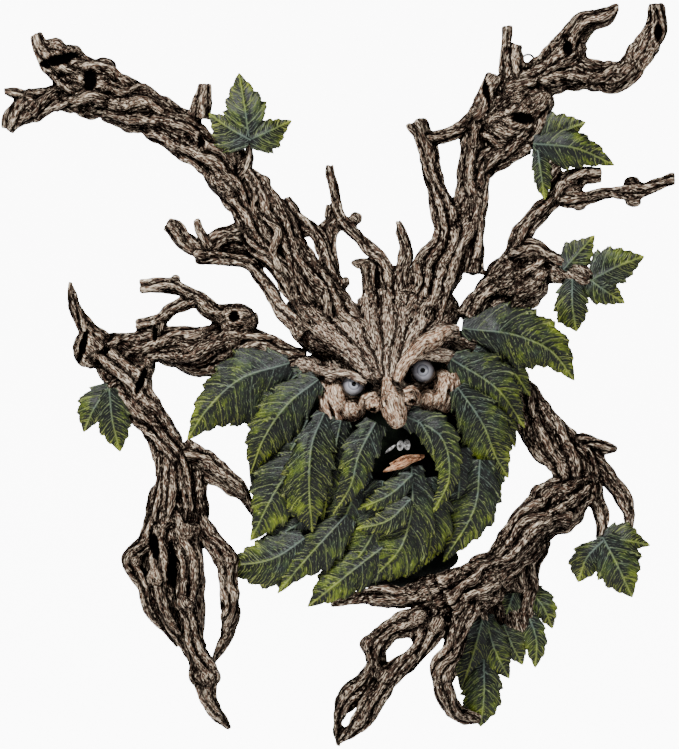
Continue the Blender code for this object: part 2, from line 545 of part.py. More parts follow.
def carve_leaf_sprays(wood):
    """Sprays of two to seven small leaves, on the antlers, at the elbows and under the hand."""
    wood.limb((-95, 138, 26, 5), (-88, 152, 30, 4), (-87, 164, 34, 2.4), (-87, 172, 36, 2))
    wood.leaf(
        [(-87, 166), (-90, 188), (-94, 211)], (38, 40, 34), (6, 14, 15.5, 10), (6, 14, 15.5, 9), 3,
    )
    wood.leaf([(-86, 166), (-100, 174), (-114, 184)], (38, 38, 32), (7, 15, 17, 9), (3, 9, 11, 6), 3)
    wood.leaf([(-88, 166), (-74, 172), (-59, 179.5)], (38, 38, 32), (3, 8, 9, 6), (7, 14, 14, 7), 3)
    wood.limb((-172, 6, 34, 5), (-181, 1, 38, 2.4))
    wood.leaf([(-180, 3), (-190, -12), (-197.5, -28)], (38, 38, 30), (5, 9, 9, 6), (4, 11, 13, 9), 3)
    wood.leaf(
        [(-180, 1), (-178, -20), (-173, -41)], (40, 41, 32), (5, 11, 13.5, 10), (5, 10, 12.5, 9), 3,
    )
    wood.limb((102, 196, 20, 4), (108, 172, 26, 3), (104, 160, 30, 3))
    wood.lump(114, 156, 28, 10, 9, 5)
    wood.lump(113, 148, 27, 8, 13, 5, 25)
    wood.leaf([(106, 162), (120, 171), (137, 178.5)], (30, 32, 28), (6, 15, 15, 8), (4, 9, 10, 6), 3)
    wood.leaf([(102, 164), (130, 161), (156, 150)], (34, 35, 30), (6, 12, 12.5, 8.5), (5, 12, 13, 7), 3)
    wood.leaf([(103, 160), (104, 142), (107, 127)], (33, 34, 30), (5, 8, 8, 6), (4, 6, 6, 5), 3)
    wood.lump(134, 76, 32, 10, 8, 5)
    wood.lump(118, 77, 28, 10, 7, 6)
    wood.leaf([(122, 80), (132, 91), (143, 103)], (32, 32, 28), (4, 11, 12, 6), (5, 11, 12, 7), 3)
    wood.leaf([(142, 74), (160, 83), (176, 89)], (35, 36, 30), (8, 17, 16, 9), (5, 11, 13, 8), 3)
    wood.leaf([(136, 76), (150, 66), (163, 58)], (34, 35, 30), (4, 10, 12, 7), (6, 12, 12, 7), 3)
    wood.leaf([(128, 74), (128, 56), (131, 39)], (36, 37, 30), (5, 11, 12, 10), (5, 11, 13, 12), 3)
    wood.leaf([(148, -98), (157, -115), (168, -138)], (38, 40, 32), (8, 19, 19, 11), (8, 14, 17, 12), 3)
    wood.leaf([(150, -99), (138, -111), (132, -128)], (38, 38, 31), (5, 11, 13, 11), (4, 7, 11, 10), 3)
    wood.leaf([(148, -99), (163, -100), (180, -103.5)], (37, 37, 31), (6, 12, 13, 6), (5, 10, 9, 5), 3)
    wood.lump(88, -150, 34, 18, 12, 5, 30)
    wood.leaf([(90, -132), (85, -146), (80, -160)], (36, 38, 32), (4, 8, 9, 6), (5, 9, 9, 6), 3)
    wood.leaf([(99, -132), (109, -145), (115, -159)], (34, 35, 30), (5, 10, 10, 7), (4, 8, 8, 6), 3)
    wood.leaf([(98, -148), (104, -166), (103.5, -185)], (35, 36, 30), (5, 8, 8, 6), (5, 9, 10, 7), 3)
    wood.leaf([(82, -156), (88, -170), (95, -183)], (37, 38, 32), (6, 12, 12, 8), (4, 9, 9, 6), 3)
    wood.leaf([(69, -148), (63, -172), (54, -200)], (40, 42, 34), (5, 9, 10, 6), (5, 15, 18, 11), 3)
    wood.leaf([(70, -150), (76, -172), (86, -192)], (39, 41, 34), (5, 11, 12, 8), (5, 10, 12, 10), 3)
    wood.leaf(
        [(69, -183), (69, -204), (67, -224)], (38, 40, 34), (6, 12, 13.5, 11), (7, 14, 16.5, 14), 3,
    )
    wood.limb((66, -138, 44, 5), (69, -152, 40, 3), (69, -186, 36, 3))


def wire_loop(name, x, z):
    """A bent wire hanger whose two ends sit in holes drilled down into the casting. Its seat, x
    and z, is the middle of the two hole mouths."""
    half = WIRE_LOOP_WIDTH / 2
    foot = z * UNIT - WIRE_SEAT
    top = z * UNIT + WIRE_LOOP_RISE
    bend = [math.pi * step / 8 for step in range(9)]
    arc = [(-half * math.cos(a), top - half + half * math.sin(a)) for a in bend]
    profile = [(-half, foot), (-half, z * UNIT), *arc, (half, z * UNIT), (half, foot)]
    curve = bpy.data.curves.new(name, "CURVE")
    curve.dimensions = "3D"
    curve.bevel_depth = WIRE_DIAMETER / 2
    curve.bevel_resolution = 2
    curve.use_fill_caps = True
    spline = curve.splines.new("POLY")
    spline.points.add(len(profile) - 1)
    for point, (across, up) in zip(spline.points, profile):
        point.co = (x * UNIT + across, -WIRE_DEPTH, up, 1)
    loop = bpy.data.objects.new(name, curve)
    loop.data.materials.append(material(*STEEL))
    work.objects.link(loop)


def cut_away(casting, shape):
    """Takes one closed shape out of the casting."""
    mesh = bpy.data.meshes.new("cutter")
    shape.to_mesh(mesh)
    shape.free()
    cutter = bpy.data.objects.new("cutter", mesh)
    cutter.hide_render = True
    cutter.display_type = "WIRE"
    cutters.objects.link(cutter)
    cut = casting.modifiers.new("wire seat", "BOOLEAN")
    cut.object = cutter


def drill_seats(casting, x, z):
    """Two blind holes for the ends of one wire loop, and a slot that keeps its bend clear of the
    casting. All are wider than the wire by the clearance."""
    bore = WIRE_DIAMETER / 2 + SEAT_CLEARANCE
    foot = z * UNIT - WIRE_SEAT - SEAT_CLEARANCE
    top = z * UNIT + WIRE_LOOP_RISE
    for side in (-1, 1):
        drill = bmesh.new()
        middle = (x * UNIT + side * WIRE_LOOP_WIDTH / 2, -WIRE_DEPTH, (foot + top) / 2)
        bmesh.ops.create_cone(
            drill,
            cap_ends=True,
            segments=10,
            radius1=bore,
            radius2=bore,
            depth=top - foot,
            matrix=Matrix.Translation(middle),
        )
        cut_away(casting, drill)
    slot = bmesh.new()
    low = top - WIRE_LOOP_WIDTH / 2 - bore
    high = top + bore
    wide = WIRE_LOOP_WIDTH + 2 * bore + SEAT_CLEARANCE
    size = Matrix.Diagonal((wide, 2 * bore + SEAT_CLEARANCE, high - low, 1))
    middle = Matrix.Translation((x * UNIT, -WIRE_DEPTH, (low + high) / 2))
    bmesh.ops.create_cube(slot, size=1, matrix=middle @ size)
    cut_away(casting, slot)


RIGHT_HANGER = (99.5, 210)
LEFT_HANGER = (-166, 190)

wood = Carving()
for carve in (
    carve_core,
    carve_face,
    carve_beard,
    carve_crown,
    carve_left_antler,
    carve_left_twigs,
    carve_right_antlers,
    carve_left_arm,
    carve_right_arm,
    carve_leaf_sprays,
):
    carve(wood)
tree_face = wood.cast("tree_face")
tree_face.data.materials.append(material(*RESIN))
for name, seat in (("hanger_right", RIGHT_HANGER), ("hanger_left", LEFT_HANGER)):
    drill_seats(tree_face, *seat)
    wire_loop(name, *seat)
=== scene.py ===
"""Looks of the tree spirit wall sculpture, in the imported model's frame: metres, +Z up, the wall is
y = 0 and the face looks along -Y. Places on the carving are (across, up, out) in millimetres."""

import itertools
import math

import bmesh
import bpy
import numpy as np
from mathutils import Matrix, Vector


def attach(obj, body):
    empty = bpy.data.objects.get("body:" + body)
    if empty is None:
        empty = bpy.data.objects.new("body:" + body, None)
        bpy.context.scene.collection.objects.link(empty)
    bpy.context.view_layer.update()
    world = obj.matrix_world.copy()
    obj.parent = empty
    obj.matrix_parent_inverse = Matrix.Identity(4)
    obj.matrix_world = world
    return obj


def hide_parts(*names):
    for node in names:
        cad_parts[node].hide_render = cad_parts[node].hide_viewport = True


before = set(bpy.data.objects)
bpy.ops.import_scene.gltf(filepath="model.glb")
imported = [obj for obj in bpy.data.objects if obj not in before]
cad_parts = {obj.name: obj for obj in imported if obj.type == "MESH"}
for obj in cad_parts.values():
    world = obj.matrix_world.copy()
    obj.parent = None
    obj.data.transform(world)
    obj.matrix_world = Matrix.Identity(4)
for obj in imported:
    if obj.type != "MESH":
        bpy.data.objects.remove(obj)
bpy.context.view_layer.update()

# The bark
# The real piece is one resin casting, painted by hand: dark wash in the grooves, cream dry brush
# on the ridges. It is modelled by regions, each run together from limbs and lumps into one skin
# and then given its flutes and grain, which follow each limb.

MM = 0.001
SKIN_STEP = 1.2
STATION_STEP = 2.0
THINNEST = 0.6
ROOTS_FROM = 4.4
ROOT_SPACING = 4.5
ROOT_SHARE = 1.7
LIMB_REACH = 30.0
CREASE_WIDTH = 1.2
BACK_FADE = 5.0
SIDE_SHADE = 0.75
BACK_SHADE = 1.6
LIMB_SWAY = 0.6
CORE_SHARE = 0.84
ROOT_REACH = 1.04
TWISTS = (0.008, 0.028)
FLUTE_DEPTH = 0.17
FLUTE_LIMITS = (0.3, 1.7)
FLUTE_BEND = 1.6
BEND_LENGTH = 16
KNOT_DEPTH = 0.75
KNOT_SIZE = np.array([9, 4, 4])
STREAK_DEPTH = 0.6
STREAK_SIZE = np.array([7, 2, 2])
CREASE_DEPTH = 0.6
CREASE_SHADE = 0.25
HOLLOW_SHADE = 0.35
RIDGE_TONES = ((3, 0.85), (16, 0.35))


def place(x, z, depth):
    """A point of the carving: across, up, and out from the wall."""
    return Vector((x * MM, -depth * MM, z * MM))


def through(values, share, knots=None):
    """A smooth run through values at the knots, which are even if none are given, at shares 0 to 1."""
    values = np.asarray(values, float)
    knots = np.linspace(0, 1, len(values)) if knots is None else knots
    slopes = np.gradient(values, knots, axis=0)
    piece = np.clip(np.searchsorted(knots, share, side="right") - 1, 0, len(knots) - 2)
    span = knots[piece + 1] - knots[piece]
    part = (share - knots[piece]) / span
    if values.ndim > 1:
        span, part = span[:, None], part[:, None]
    start = values[piece] * (1 + 2 * part) + slopes[piece] * span * part
    end = values[piece + 1] * (3 - 2 * part) + slopes[piece + 1] * span * (part - 1)
    return start * (1 - part) ** 2 + end * part**2


def along(points, share):
    """Points of a smooth curve through the given ones, at shares of its length."""
    points = np.asarray(points, float)
    steps = np.linalg.norm(np.diff(points, axis=0), axis=1)
    return through(points, share, np.concatenate([[0], np.cumsum(steps)]) / steps.sum())


def wander(points):
    """Smooth noise from -1 to 1 at rows of three coordinates, the same on every run."""
    cell = np.floor(points).astype(np.int64)
    part = points - cell
    part = part * part * (3 - 2 * part)
    total = np.zeros(len(points))
    for corner in itertools.product((0, 1), repeat=3):
        spot = (cell + corner) @ np.array([374761393, 668265263, 974634777])
        spot = (spot ^ (spot >> 13)) * 1274126177
        value = ((spot ^ (spot >> 16)) & 65535) / 32767.5 - 1
        total += value * np.prod(np.where(corner, part, 1 - part), axis=1)
    return total


def evaluated_mesh(obj):
    graph = bpy.context.evaluated_depsgraph_get()
    mesh = bpy.data.meshes.new_from_object(obj.evaluated_get(graph))
    bpy.data.objects.remove(obj)
    return mesh


def points_of(mesh, what="co"):
    found = np.empty(len(mesh.vertices) * 3)
    mesh.vertices.foreach_get(what, found)
    return found.reshape(-1, 3)


def write_attribute(mesh, name, kind, values):
    layer = mesh.attributes.new(name, kind, "POINT")
    field = "vector" if kind == "FLOAT_VECTOR" else "value"
    layer.data.foreach_set(field, values.astype(np.float32).ravel())


def ridge_height(mesh, rounds):
    """How far each point stands above the mean of its surroundings, in millimetres."""
    points = points_of(mesh)
    ends = np.empty(len(mesh.edges) * 2, np.int32)
    mesh.edges.foreach_get("vertices", ends)
    first, second = ends.reshape(-1, 2).T
    links = np.maximum(np.bincount(ends, minlength=len(points)), 1)[:, None]
    smooth = points
    for _ in range(rounds):
        pulled = np.zeros_like(points)
        for axis in range(3):
            pulled[:, axis] += np.bincount(first, smooth[second, axis], len(points))
            pulled[:, axis] += np.bincount(second, smooth[first, axis], len(points))
        smooth = (smooth + pulled / links) / 2
    return np.einsum("ij,ij->i", points - smooth, points_of(mesh, "normal")) / MM


def add_object(name, data):
    obj = bpy.data.objects.new(name, data)
    bpy.context.scene.collection.objects.link(obj)
    return obj


def mesh_from(name, solid):
    mesh = bpy.data.meshes.new(name)
    solid.to_mesh(mesh)
    solid.free()
    return mesh


def finish_piece(name, mesh, paint):
    """The same last steps for every piece that stands for the casting."""
    mesh.materials.append(paint)
    mesh.polygons.foreach_set("use_smooth", [True] * len(mesh.polygons))
    obj = add_object(name, mesh)
    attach(obj, "root")
    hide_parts("tree_face")


def add_ball(solid, x, z, depth, wide, tall, thick, roll=0.0, segments=(32, 20)):
    """A ball stretched to its three half sizes and rolled in the wall plane."""
    size = Matrix.Diagonal((wide * MM, thick * MM, tall * MM, 1))
    turn = Matrix.Rotation(math.radians(roll), 4, "Y")
    where = Matrix.Translation(place(x, z, depth)) @ turn @ size
    around, down = segments
    bmesh.ops.create_uvsphere(solid, u_segments=around, v_segments=down, radius=1, matrix=where)


def limb_frame(centres):
    """Directions along a limb, across it and out of it, at each point of its centre line."""
    ahead = np.gradient(centres, axis=0)
    ahead /= np.linalg.norm(ahead, axis=1)[:, None]
    side = np.cross(ahead, (0, 0, 1))
    side /= np.maximum(np.linalg.norm(side, axis=1), 1e-6)[:, None]
    return ahead, side, np.cross(side, ahead)


class Bark:
    """One region of the tree: its limbs and lumps, and the hollows sunk in them. Where it is
    wound, each thick limb is made of roots that twist round its core."""

    def __init__(self, seed, step=SKIN_STEP, wound=True):
        self.random = np.random.default_rng(seed)
        self.step = step
        self.wound = wound
        self.lumps = bmesh.new()
        self.tubes = []
        self.grain = []
        self.hollows = []

    def limb(self, *stations, fluted=1.0):
        """A branch, twig or finger through stations of (across, up, out, radius)."""
        stations = np.array(stations, float)
        length = np.linalg.norm(np.diff(stations[:, :3], axis=0), axis=1).sum()
        line = along(stations, np.linspace(0, 1, max(5, int(length / STATION_STEP))))
        walk = np.linspace(0, length, len(line))
        seed = self.random.uniform(0, 900)

        def drift(pace, lane):
            """A slow change along the limb; each use has its own lane of the noise."""
            lanes = [walk / pace, np.full(len(walk), seed), np.full(len(walk), lane)]
            return wander(np.stack(lanes, axis=1))

        fade = np.minimum(1, 4 * np.minimum(walk, length - walk) / length)
        for axis in range(3):
            line[:, axis] += LIMB_SWAY * drift(11, 7.0 * axis) * fade
        line[:, 3] *= 1 + 0.08 * drift(8, 31.0) + 0.07 * drift(3.7, 32.0)
        line[:, 3] = np.maximum(THINNEST, line[:, 3])
        thick = line[:, 3].max()
        twist = self.random.choice((-1, 1)) * self.random.uniform(*TWISTS)
        if not self.wound or thick < ROOTS_FROM:
            self.tubes.append(line)
            self.grain.append((line, walk, seed, fluted, 2 * twist))
            return
        core = line.copy()
        core[:, 3] *= CORE_SHARE
        self.tubes.append(core)
        _, side, front = limb_frame(line[:, :3])
        roots = 3 + int(thick / ROOT_SPACING)
        for number in range(roots):
            turn = 2 * math.pi * number / roots + twist * walk + 0.6 * drift(17, 43.0 + 5 * number)
            root = line.copy()
            root[:, 3] *= ROOT_SHARE / (roots + 0.3) * (1 + 0.34 * drift(6.5, 120.0 + 5 * number))
            reach = ROOT_REACH * line[:, 3] - root[:, 3]
            root[:, :3] += (side * np.cos(turn)[:, None] + front * np.sin(turn)[:, None]) * reach[:, None]
            self.tubes.append(root)
            self.grain.append((root, walk, seed + 3.7 * number, fluted, 2 * twist))

    def lump(self, x, z, depth, wide, tall, thick, roll=0.0):
        """A knot or swelling: a ball stretched to its three half sizes."""
        add_ball(self.lumps, x, z, depth, wide, tall, thick, roll)

    def hollow(self, x, z, wide, tall, deep, roll=0.0):
        """A pit or slit pressed into the front, with its half sizes across and up."""
        self.hollows.append((x, z, wide, tall, deep, math.radians(roll)))

    def skin(self, name):
        """All the shapes as one closed skin, cut flat where it meets the wall."""
        routes = bpy.data.curves.new("limb_routes", "CURVE")
        routes.dimensions = "3D"
        routes.bevel_depth = MM
        routes.bevel_resolution = 3
        routes.use_fill_caps = True
        for line in self.tubes:
            spline = routes.splines.new("POLY")
            spline.points.add(len(line) - 1)
            for point, (x, z, depth, radius) in zip(spline.points, line):
                point.co = (*place(x, z, depth), 1)
                point.radius = radius
        self.lumps.from_mesh(evaluated_mesh(add_object("limb_guide", routes)))
        blank = add_object("blank", mesh_from("rough", self.lumps))
        skin = blank.modifiers.new("one skin", "REMESH")
        skin.mode = "VOXEL"
        skin.voxel_size = self.step * MM
        soften = blank.modifiers.new("soften", "SMOOTH")
        soften.factor = 0.5
        soften.iterations = 2
        mesh = evaluated_mesh(blank)
        mesh.name = name
        flatten_back(mesh)
        return mesh

    def follow_limbs(self, points):
        """For each point and its two nearest limbs: how far the limb's own surface lies, the
        place on the straightened limb, and the limb's seed, fluting, twist and radius."""
        near = np.full((2, len(points)), 1e9)
        found = np.zeros((2, len(points), 7))
        found[:, :, :3] = points
        for line, walk, seed, fluted, twist in self.grain:
            centres = line[:, :3]
            low = centres.min(0) - LIMB_REACH
            high = centres.max(0) + LIMB_REACH
            close = np.flatnonzero(((points > low) & (points < high)).all(1))
            spots = points[close]
            away = (spots**2).sum(1)[:, None] + (centres**2).sum(1) - 2 * spots @ centres.T
            away = np.sqrt(np.maximum(away, 0)) - line[:, 3]
            nearest = away.argmin(1)
            distance = away[np.arange(len(spots)), nearest]
            ahead, side, front = limb_frame(centres)
            offset = spots - centres[nearest]
            here = np.stack([
                walk[nearest] + (offset * ahead[nearest]).sum(1),
                (offset * side[nearest]).sum(1),
                (offset * front[nearest]).sum(1),
                np.full(len(spots), seed),
                np.full(len(spots), fluted),
                np.full(len(spots), twist),
                line[nearest, 3],
            ], axis=1)
            first = distance < near[0, close]
            beaten = close[first]
            near[1, beaten], found[1, beaten] = near[0, beaten], found[0, beaten]
            near[0, beaten], found[0, beaten] = distance[first], here[first]
            second = ~first & (distance < near[1, close])
            near[1, close[second]], found[1, close[second]] = distance[second], here[second]
        return near, found

    def carve_grain(self, mesh):
        """Flutes, streaks and creases pushed into the skin, and the marks that the paint reads, painted shade
        among them.
        """
        world = points_of(mesh)
        points = np.stack([world[:, 0], world[:, 2], -world[:, 1]], axis=1) / MM
        near, found = self.follow_limbs(points)
        height = []
        for here, (seed, fluted, twist, radius) in zip(found[:, :, :3], found[:, :, 3:].transpose(0, 2, 1)):
            shifted = here + seed[:, None] * np.array([0, 1, 0])
            flutes = 2 + np.round(np.clip(radius, 2, 16) / 3.5)
            bend = FLUTE_BEND * wander(np.stack([here[:, 0] / BEND_LENGTH, seed, seed], axis=1))
            turn = flutes * (np.arctan2(here[:, 1], here[:, 2]) + twist * here[:, 0]) + bend
            ridge = np.sqrt(np.abs(np.cos(turn / 2))) - 0.7
            flute = fluted * ridge * np.clip(FLUTE_DEPTH * radius, *FLUTE_LIMITS)
            knot = KNOT_DEPTH * fluted * wander(shifted / KNOT_SIZE)
            height.append(flute + knot + STREAK_DEPTH * wander(shifted / STREAK_SIZE))
        part = 1 / (1 + np.exp((near[0] - near[1]) / 0.5))
        crease = np.exp(-(((near[1] - near[0]) / CREASE_WIDTH) ** 2))
        rise = height[0] * part + height[1] * (1 - part) - CREASE_DEPTH * crease
        sunk = np.zeros(len(points))
        for x, z, wide, tall, deep, roll in self.hollows:
            across = (points[:, 0] - x) * math.cos(roll) + (points[:, 1] - z) * math.sin(roll)
            up = (points[:, 1] - z) * math.cos(roll) - (points[:, 0] - x) * math.sin(roll)
            spread = (across / wide) ** 2 + (up / tall) ** 2
            sunk += deep * np.exp(-(spread**2)) - 0.9 * np.exp(-((np.sqrt(spread) - 1.7) ** 2) / 0.12)
        fade = np.clip(points[:, 2] / BACK_FADE, 0, 1)
        front = np.clip(-points_of(mesh, "normal")[:, 1], 0, 1)
        moved = world + points_of(mesh, "normal") * (rise * fade * MM)[:, None]
        moved[:, 1] = np.minimum(0, moved[:, 1] + sunk * fade * front * MM)
        mesh.vertices.foreach_set("co", moved.ravel())
        mesh.update()
        ridges = sum(share * ridge_height(mesh, rounds) for rounds, share in RIDGE_TONES)
        # The relief mark: pale on the ridges and dark in the grooves, as the dry brush and wash leave them,
        # and dark on the flat back. It also carries painted shade: darker where limbs meet, in the hollows
        # and sockets, and on the sides turned away from the front light.
        relief_and_painted_shade = (ridges - CREASE_SHADE * crease) * fade - BACK_SHADE * (1 - fade)
        relief_and_painted_shade -= HOLLOW_SHADE * np.clip(sunk, 0, 3) + SIDE_SHADE * (1 - front) ** 1.6
        grain = found[0, :, :3] + found[0, :, 3:4] * np.array([0, 1, 0])
        write_attribute(mesh, "grain", "FLOAT_VECTOR", grain)
        write_attribute(mesh, "relief_and_painted_shade", "FLOAT", relief_and_painted_shade)

    def finish(self, name, paint):
        mesh = self.skin(name)
        self.carve_grain(mesh)
        finish_piece(name, mesh, paint)


def carve_region(name, paint, seed, limbs, lumps, hollows=()):
    """One region from its tables, whose rows are what Bark's limb, lump and hollow take."""
    region = Bark(seed)
    for stations in limbs:
        region.limb(*stations)
    for lump in lumps:
        region.lump(*lump)
    for hollow in hollows:
        region.hollow(*hollow)
    region.finish(name, paint)


def flatten_back(mesh):
    """Cuts a mesh flat at the wall, closes the cut and keeps its largest shell."""
    solid = bmesh.new()
    solid.from_mesh(mesh)
    cut = bmesh.ops.bisect_plane(
        solid,
        geom=solid.verts[:] + solid.edges[:] + solid.faces[:],
        dist=1e-6,
        plane_co=(0, 0, 0),
        plane_no=(0, 1, 0),
        clear_outer=True,
    )
    rim = [e for e in cut["geom_cut"] if isinstance(e, bmesh.types.BMEdge) and e.is_boundary]
    bmesh.ops.triangle_fill(solid, edges=rim, use_beauty=True)
    waiting = set(solid.verts)
    shells = []
    while waiting:
        shell = {waiting.pop()}
        rim = list(shell)
        while rim:
            near = {edge.other_vert(v) for v in rim for edge in v.link_edges} - shell
            shell |= near
            rim = list(near)
        waiting -= shell
        shells.append(shell)
    shells.sort(key=len)
    bmesh.ops.delete(solid, geom=[v for shell in shells[:-1] for v in shell], context="VERTS")
    bmesh.ops.recalc_face_normals(solid, faces=solid.faces)
    solid.to_mesh(mesh)
    solid.free()


class Nodes:
    """Adds and links the nodes of one material or group."""

    def __init__(self, tree):
        self.tree = tree

    def add(self, kind, settings=None, **sockets):
        node = self.tree.nodes.new(kind)
        for key, value in (settings or {}).items():
            setattr(node, key, value)
        self.feed(node, **sockets)
        return node

    def feed(self, node, **sockets):
        """Sets or links the named sockets; i0 is the first one."""
        for key, value in sockets.items():
            socket = node.inputs[int(key[1:]) if key[1:].isdigit() else key.replace("_", " ")]
            if isinstance(value, bpy.types.NodeSocket):
                self.tree.links.new(value, socket)
            else:
                socket.default_value = value

    def ramp(self, factor, stops):
        node = self.add("ShaderNodeValToRGB", i0=factor)
        steps = node.color_ramp.elements
        while len(steps) < len(stops):
            steps.new(0.5)
        for step, (position, colour) in zip(steps, stops):
            step.position = position
            step.color = (*paint_colour(*colour), 1)
        return node.outputs["Color"]

    def math(self, operation, first, second=0.0, third=0.0, clamp=False):
        settings = {"operation": operation, "use_clamp": clamp}
        return self.add("ShaderNodeMath", settings, i0=first, i1=second, i2=third).outputs[0]

    def mix(self, factor, first, second):
        node = self.add("ShaderNodeMix", {"data_type": "RGBA"}, i0=factor, i6=first, i7=second)
        return node.outputs[2]

    def around_half(self, value, share, middle):
        """The middle, moved by a share of how far the value is from a half."""
        return self.math("MULTIPLY_ADD", self.math("SUBTRACT", value, 0.5), share, middle)

    def attribute(self, name, output="Fac"):
        return self.add("ShaderNodeAttribute", {"attribute_name": name}).outputs[output]

    def noise(self, where, scale, detail, roughness=0.5):
        sockets = {"Vector": where, "Scale": scale, "Detail": detail, "Roughness": roughness}
        return self.add("ShaderNodeTexNoise", **sockets).outputs["Fac"]

    def object_place(self):
        return self.add("ShaderNodeTexCoord").outputs["Object"]

    def bump(self, height, strength, distance):
        sockets = {"Strength": strength, "Distance": distance * MM, "Height": height}
        return self.add("ShaderNodeBump", **sockets).outputs["Normal"]


def paint_colour(red, green, blue):
    """A colour mixed on the 0 to 255 scale, as the linear values that a shader takes."""
    scaled = [channel / 255 for channel in (red, green, blue)]
    return [c / 12.92 if c <= 0.04045 else ((c + 0.055) / 1.055) ** 2.4 for c in scaled]


def new_material(name):
    made = bpy.data.materials.new(name)
    made.use_nodes = True
    return made, Nodes(made.node_tree), made.node_tree.nodes["Principled BSDF"]


def streaked_grain():
    """Long fibres that follow each limb: fine streaks, broad tones, and the thin threads that a dry
    brush leaves."""
    tree = bpy.data.node_groups.new("streaked grain", "ShaderNodeTree")
    tree.interface.new_socket("Stretch", in_out="INPUT", socket_type="NodeSocketFloat")
    for socket in ("Fine", "Broad", "Thread"):
        tree.interface.new_socket(socket, in_out="OUTPUT", socket_type="NodeSocketFloat")
    nodes = Nodes(tree)
    asked = nodes.add("NodeGroupInput")
    out = nodes.add("NodeGroupOutput")
    grain = nodes.attribute("grain", "Vector")
    stretch = nodes.add("ShaderNodeCombineXYZ", i0=asked.outputs["Stretch"], i1=1.0, i2=1.0).outputs[0]
    pulled = nodes.add("ShaderNodeVectorMath", {"operation": "MULTIPLY"}, i0=grain, i1=stretch).outputs[0]
    nodes.feed(out, Fine=nodes.noise(pulled, 1.3, 3.0), Broad=nodes.noise(pulled, 0.16, 2.0))
    off_line = nodes.math("ABSOLUTE", nodes.math("SUBTRACT", nodes.noise(pulled, 0.72, 1.0), 0.5))
    nodes.feed(out, Thread=nodes.math("MULTIPLY_ADD", off_line, -13.0, 1.0, clamp=True))
    return tree


def bark_paint(name, grain, wash, wood, tan, cream, brightness):
    """Dark wash in the grooves, brown wood, and cream threads dragged over the ridges, with painted shade
    from the relief mark.
    """
    made, nodes, shader = new_material(name)
    fine, broad, threads = nodes.add("ShaderNodeGroup", {"node_tree": grain}, Stretch=0.26).outputs
    # The relief mark lifts the tone on the ridges and lowers it where shade is painted in.
    raised_and_shaded = nodes.math("MULTIPLY_ADD", nodes.attribute("relief_and_painted_shade"), 0.44, brightness)
    toned = nodes.around_half(broad, 0.8, nodes.around_half(fine, 1.9, raised_and_shaded))
    body = nodes.ramp(toned, ((0.12, wash), (0.4, wood), (0.78, tan), (1.0, cream)))
    caught = nodes.math("MULTIPLY", nodes.math("SUBTRACT", toned, 0.2), 1.9, clamp=True)
    thread = nodes.math("MULTIPLY", threads, caught)
    nodes.feed(
        shader,
        Base_Color=nodes.mix(thread, body, (*paint_colour(*cream), 1)),
        Roughness=nodes.math("MULTIPLY_ADD", fine, 0.3, 0.5),
        Specular_IOR_Level=nodes.math("MULTIPLY", caught, 0.35),
        Normal=nodes.bump(nodes.math("MULTIPLY_ADD", threads, 0.5, fine), 0.8, 0.8),
    )
    return made


grain_group = streaked_grain()
bark = bark_paint(
    "painted_bark", grain_group, (3, 2, 2), (52, 37, 29), (108, 82, 63), (255, 236, 208), 0.31
)

# The face
# A forehead of roots running down between the eyes, with lids and sockets, all in the same
# casting and brushed paler than the branches. The eye line rises to the right.

face_bark = bark_paint(
    "painted_face_bark", grain_group, (5, 3, 3), (66, 50, 41), (136, 110, 92), (255, 238, 212), 0.41
)
face = Bark(seed=3, step=1.0, wound=False)
face.lump(4, 8, 22, 48, 36, 32)
face.lump(-66, 2, 20, 24, 18, 26)
face.lump(-50, 14, 34, 13, 9, 16)
face.lump(66, -6, 18, 20, 28, 26)
face.lump(-2, 35, 28, 54, 19, 29)
face.lump(4, 32, 36, 42, 22, 26)

FOREHEAD = (
    ((-52, 62, 26, 12), (-34, 41, 44, 11), (-16, 23, 63, 8), (-5, 9, 71, 4)),
    ((-33, 62, 30, 11), (-20, 43, 50, 11), (-9, 22, 65, 7), (-1, 8, 72, 3.6)),
    ((-8, 60, 38, 7), (-7, 43, 54, 8), (-2, 22, 67, 5), (1, 7, 73, 3)),
    ((6, 64, 36, 8), (6, 43, 56, 7), (5, 22, 68, 4.6), (5, 7, 74, 3)),
    ((16, 64, 34, 8), (14, 43, 55, 7), (11, 24, 69, 5.4), (9, 8, 75, 3.6)),
    ((32, 62, 30, 9), (27, 45, 50, 9), (19, 28, 66, 6.6), (12, 10, 75, 3.8)),
    ((46, 56, 26, 8), (40, 45, 42, 9), (31, 34, 57, 8)),
)
for strand in FOREHEAD:
    face.limb(*strand, fluted=0.5)
face.limb((24, 30, 62, 6), (38, 36, 58, 6.5), (50, 38, 50, 6))
face.limb((-48, 15, 52, 5), (-36, 12, 61, 3.2), (-20, 10, 70, 2.8), (-9, 5, 70, 2.2))
face.limb((19, 19, 71, 2.4), (28, 24, 69, 3.6), (38, 24, 63, 5), (47, 22, 54, 5))
face.limb((-28, -1, 60, 2), (-19, -5.5, 66, 2.2), (-9, -3, 67, 2))
face.limb((18, 6, 67, 2), (27, 3.5, 68, 2.2), (37, 8, 62, 2))
face.limb((-10, -9, 67, 2), (-13, -16, 63, 2), (-17, -24, 58, 1.8), fluted=0.4)
face.limb((-27, -6, 58, 2), (-18, -10, 62, 2.2), (-11, -8, 64, 2), fluted=0.4)
face.limb((24, -2, 66, 1.8), (31, -1, 64, 2), (38, 3, 62, 1.8), fluted=0.4)
# Pits round the eyes and a slit below: sunk, and also painted darker as shade in the sockets.
face.hollow(-24, 6, 6, 3, 2, 20)
face.hollow(-10, 1, 4, 3, 3, 20)
face.hollow(18.5, 10, 3.5, 5, 3, 10)
face.hollow(37, 15, 3.5, 4, 3)
face.hollow(-13, -11, 1.5, 3, 2, -20)
face.finish("spirit_face", face_bark)

# The nose, brows and cheeks
# A hooked nose, two heavy brows and bony cheeks that stand out from the same casting and carry
# its palest paint. Two links hidden behind them hold them together as one piece.

